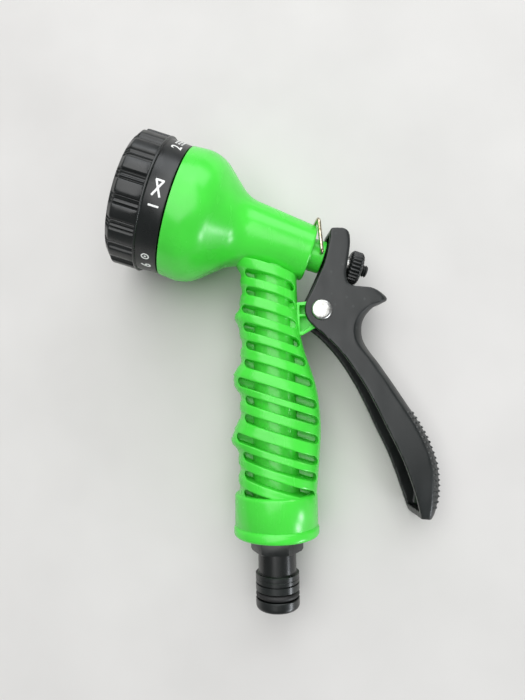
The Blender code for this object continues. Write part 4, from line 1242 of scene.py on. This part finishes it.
class NozzleSizes(bpy.types.PropertyGroup):
    rim_radius: length("Rim radius", "Outer radius of the bell at its rim", 26.45)
    bell_radius: length("Bell radius", "Largest radius of the bell", 26.9)
    dial_radius: length("Dial radius", "Outer radius of the dial's raised edge", 27.5)
    lobe_count: IntProperty(name="Lobes", description="Number of lobes round the dial", default=18, min=3)
    slot_width: length("Slot width", "Width of a slot between the grip's ribs", SLOT_WIDTH)
    collar_radius: length("Collar radius", "Outer radius of the end collar", 16.4)
    spigot_radius: length("Spigot radius", "Outer radius of the hose spigot's ring section", 8.6)
    nut_radius: length("Nut radius", "Outer radius of the thumb nut", 6.9)
    wire_radius: length("Wire radius", "Radius of the lock clip's wire", 0.8)


class NozzleColours(bpy.types.PropertyGroup):
    green: colour("Green", "Barrel, grip and collar", "#48DB40")
    black: colour("Black", "Dial, spigot and nut", "#121514")
    trigger: colour("Trigger", "Trigger lever", "#161A19")


class NOZZLE_OT_barrel(bpy.types.Operator):
    """Build the barrel with its bell, and the inlet tube inside the grip"""

    bl_idname = "nozzle.barrel"
    bl_label = "Barrel"

    def execute(self, context):
        make_barrel(context.scene.nozzle_sizes)
        return {"FINISHED"}


class NOZZLE_OT_grip(bpy.types.Operator):
    """Build the slotted grip and the lug that carries the trigger"""

    bl_idname = "nozzle.grip"
    bl_label = "Grip"

    def execute(self, context):
        make_grip(context.scene.nozzle_sizes)
        return {"FINISHED"}


class NOZZLE_OT_hose_end(bpy.types.Operator):
    """Build the end collar, the hose spigot and its ring"""

    bl_idname = "nozzle.hose_end"
    bl_label = "Hose end"

    def execute(self, context):
        make_collar(context.scene.nozzle_sizes)
        make_connector(context.scene.nozzle_sizes)
        return {"FINISHED"}


class NOZZLE_OT_dial(bpy.types.Operator):
    """Build the dial ring, its printed marks and its front disc"""

    bl_idname = "nozzle.dial"
    bl_label = "Dial"

    def execute(self, context):
        make_dial(context.scene.nozzle_sizes)
        make_marks()
        make_face()
        return {"FINISHED"}


class NOZZLE_OT_valve(bpy.types.Operator):
    """Build the threaded pull rod and its thumb nut"""

    bl_idname = "nozzle.valve"
    bl_label = "Valve tail"

    def execute(self, context):
        make_stem()
        make_nut(context.scene.nozzle_sizes)
        return {"FINISHED"}


class NOZZLE_OT_trigger(bpy.types.Operator):
    """Build the trigger lever with its studs, its rivet and the wire lock clip"""

    bl_idname = "nozzle.trigger"
    bl_label = "Trigger"

    def execute(self, context):
        make_trigger()
        make_rivet()
        make_clip(context.scene.nozzle_sizes)
        return {"FINISHED"}


class NOZZLE_OT_inner(bpy.types.Operator):
    """Give the inner pieces of the frame their finishes"""

    bl_idname = "nozzle.inner"
    bl_label = "Inner pieces"

    def execute(self, context):
        finish_cad_nodes()
        return {"FINISHED"}


class NOZZLE_OT_stage(bpy.types.Operator):
    """Set up the floor, the lights and the camera"""

    bl_idname = "nozzle.stage"
    bl_label = "Stage"

    def execute(self, context):
        make_floor()
        make_lights()
        make_camera()
        return {"FINISHED"}


STEPS = ("barrel", "grip", "hose_end", "dial", "valve", "trigger", "inner", "stage")


class NOZZLE_PT_panel(bpy.types.Panel):
    """List the nozzle's sizes, colours and building steps"""

    bl_idname = "NOZZLE_PT_panel"
    bl_label = "Hose spray nozzle"
    bl_space_type = "VIEW_3D"
    bl_region_type = "UI"
    bl_category = "Nozzle"

    def draw(self, context):
        for group in (context.scene.nozzle_sizes, context.scene.nozzle_colours):
            for name in group.bl_rna.properties.keys():
                if name not in ("rna_type", "name"):
                    self.layout.prop(group, name)
        for step in STEPS:
            self.layout.operator("nozzle." + step)


CLASSES = (
    NozzleSizes,
    NozzleColours,
    NOZZLE_OT_barrel,
    NOZZLE_OT_grip,
    NOZZLE_OT_hose_end,
    NOZZLE_OT_dial,
    NOZZLE_OT_valve,
    NOZZLE_OT_trigger,
    NOZZLE_OT_inner,
    NOZZLE_OT_stage,
    NOZZLE_PT_panel,
)


def register():
    for cls in CLASSES:
        bpy.utils.register_class(cls)
    bpy.types.Scene.nozzle_sizes = PointerProperty(type=NozzleSizes)
    bpy.types.Scene.nozzle_colours = PointerProperty(type=NozzleColours)


def unregister():
    del bpy.types.Scene.nozzle_colours
    del bpy.types.Scene.nozzle_sizes
    for cls in reversed(CLASSES):
        bpy.utils.unregister_class(cls)


def main():
    register()
    for step in STEPS:
        getattr(bpy.ops.nozzle, step)()


if __name__ == "__main__":
    main()
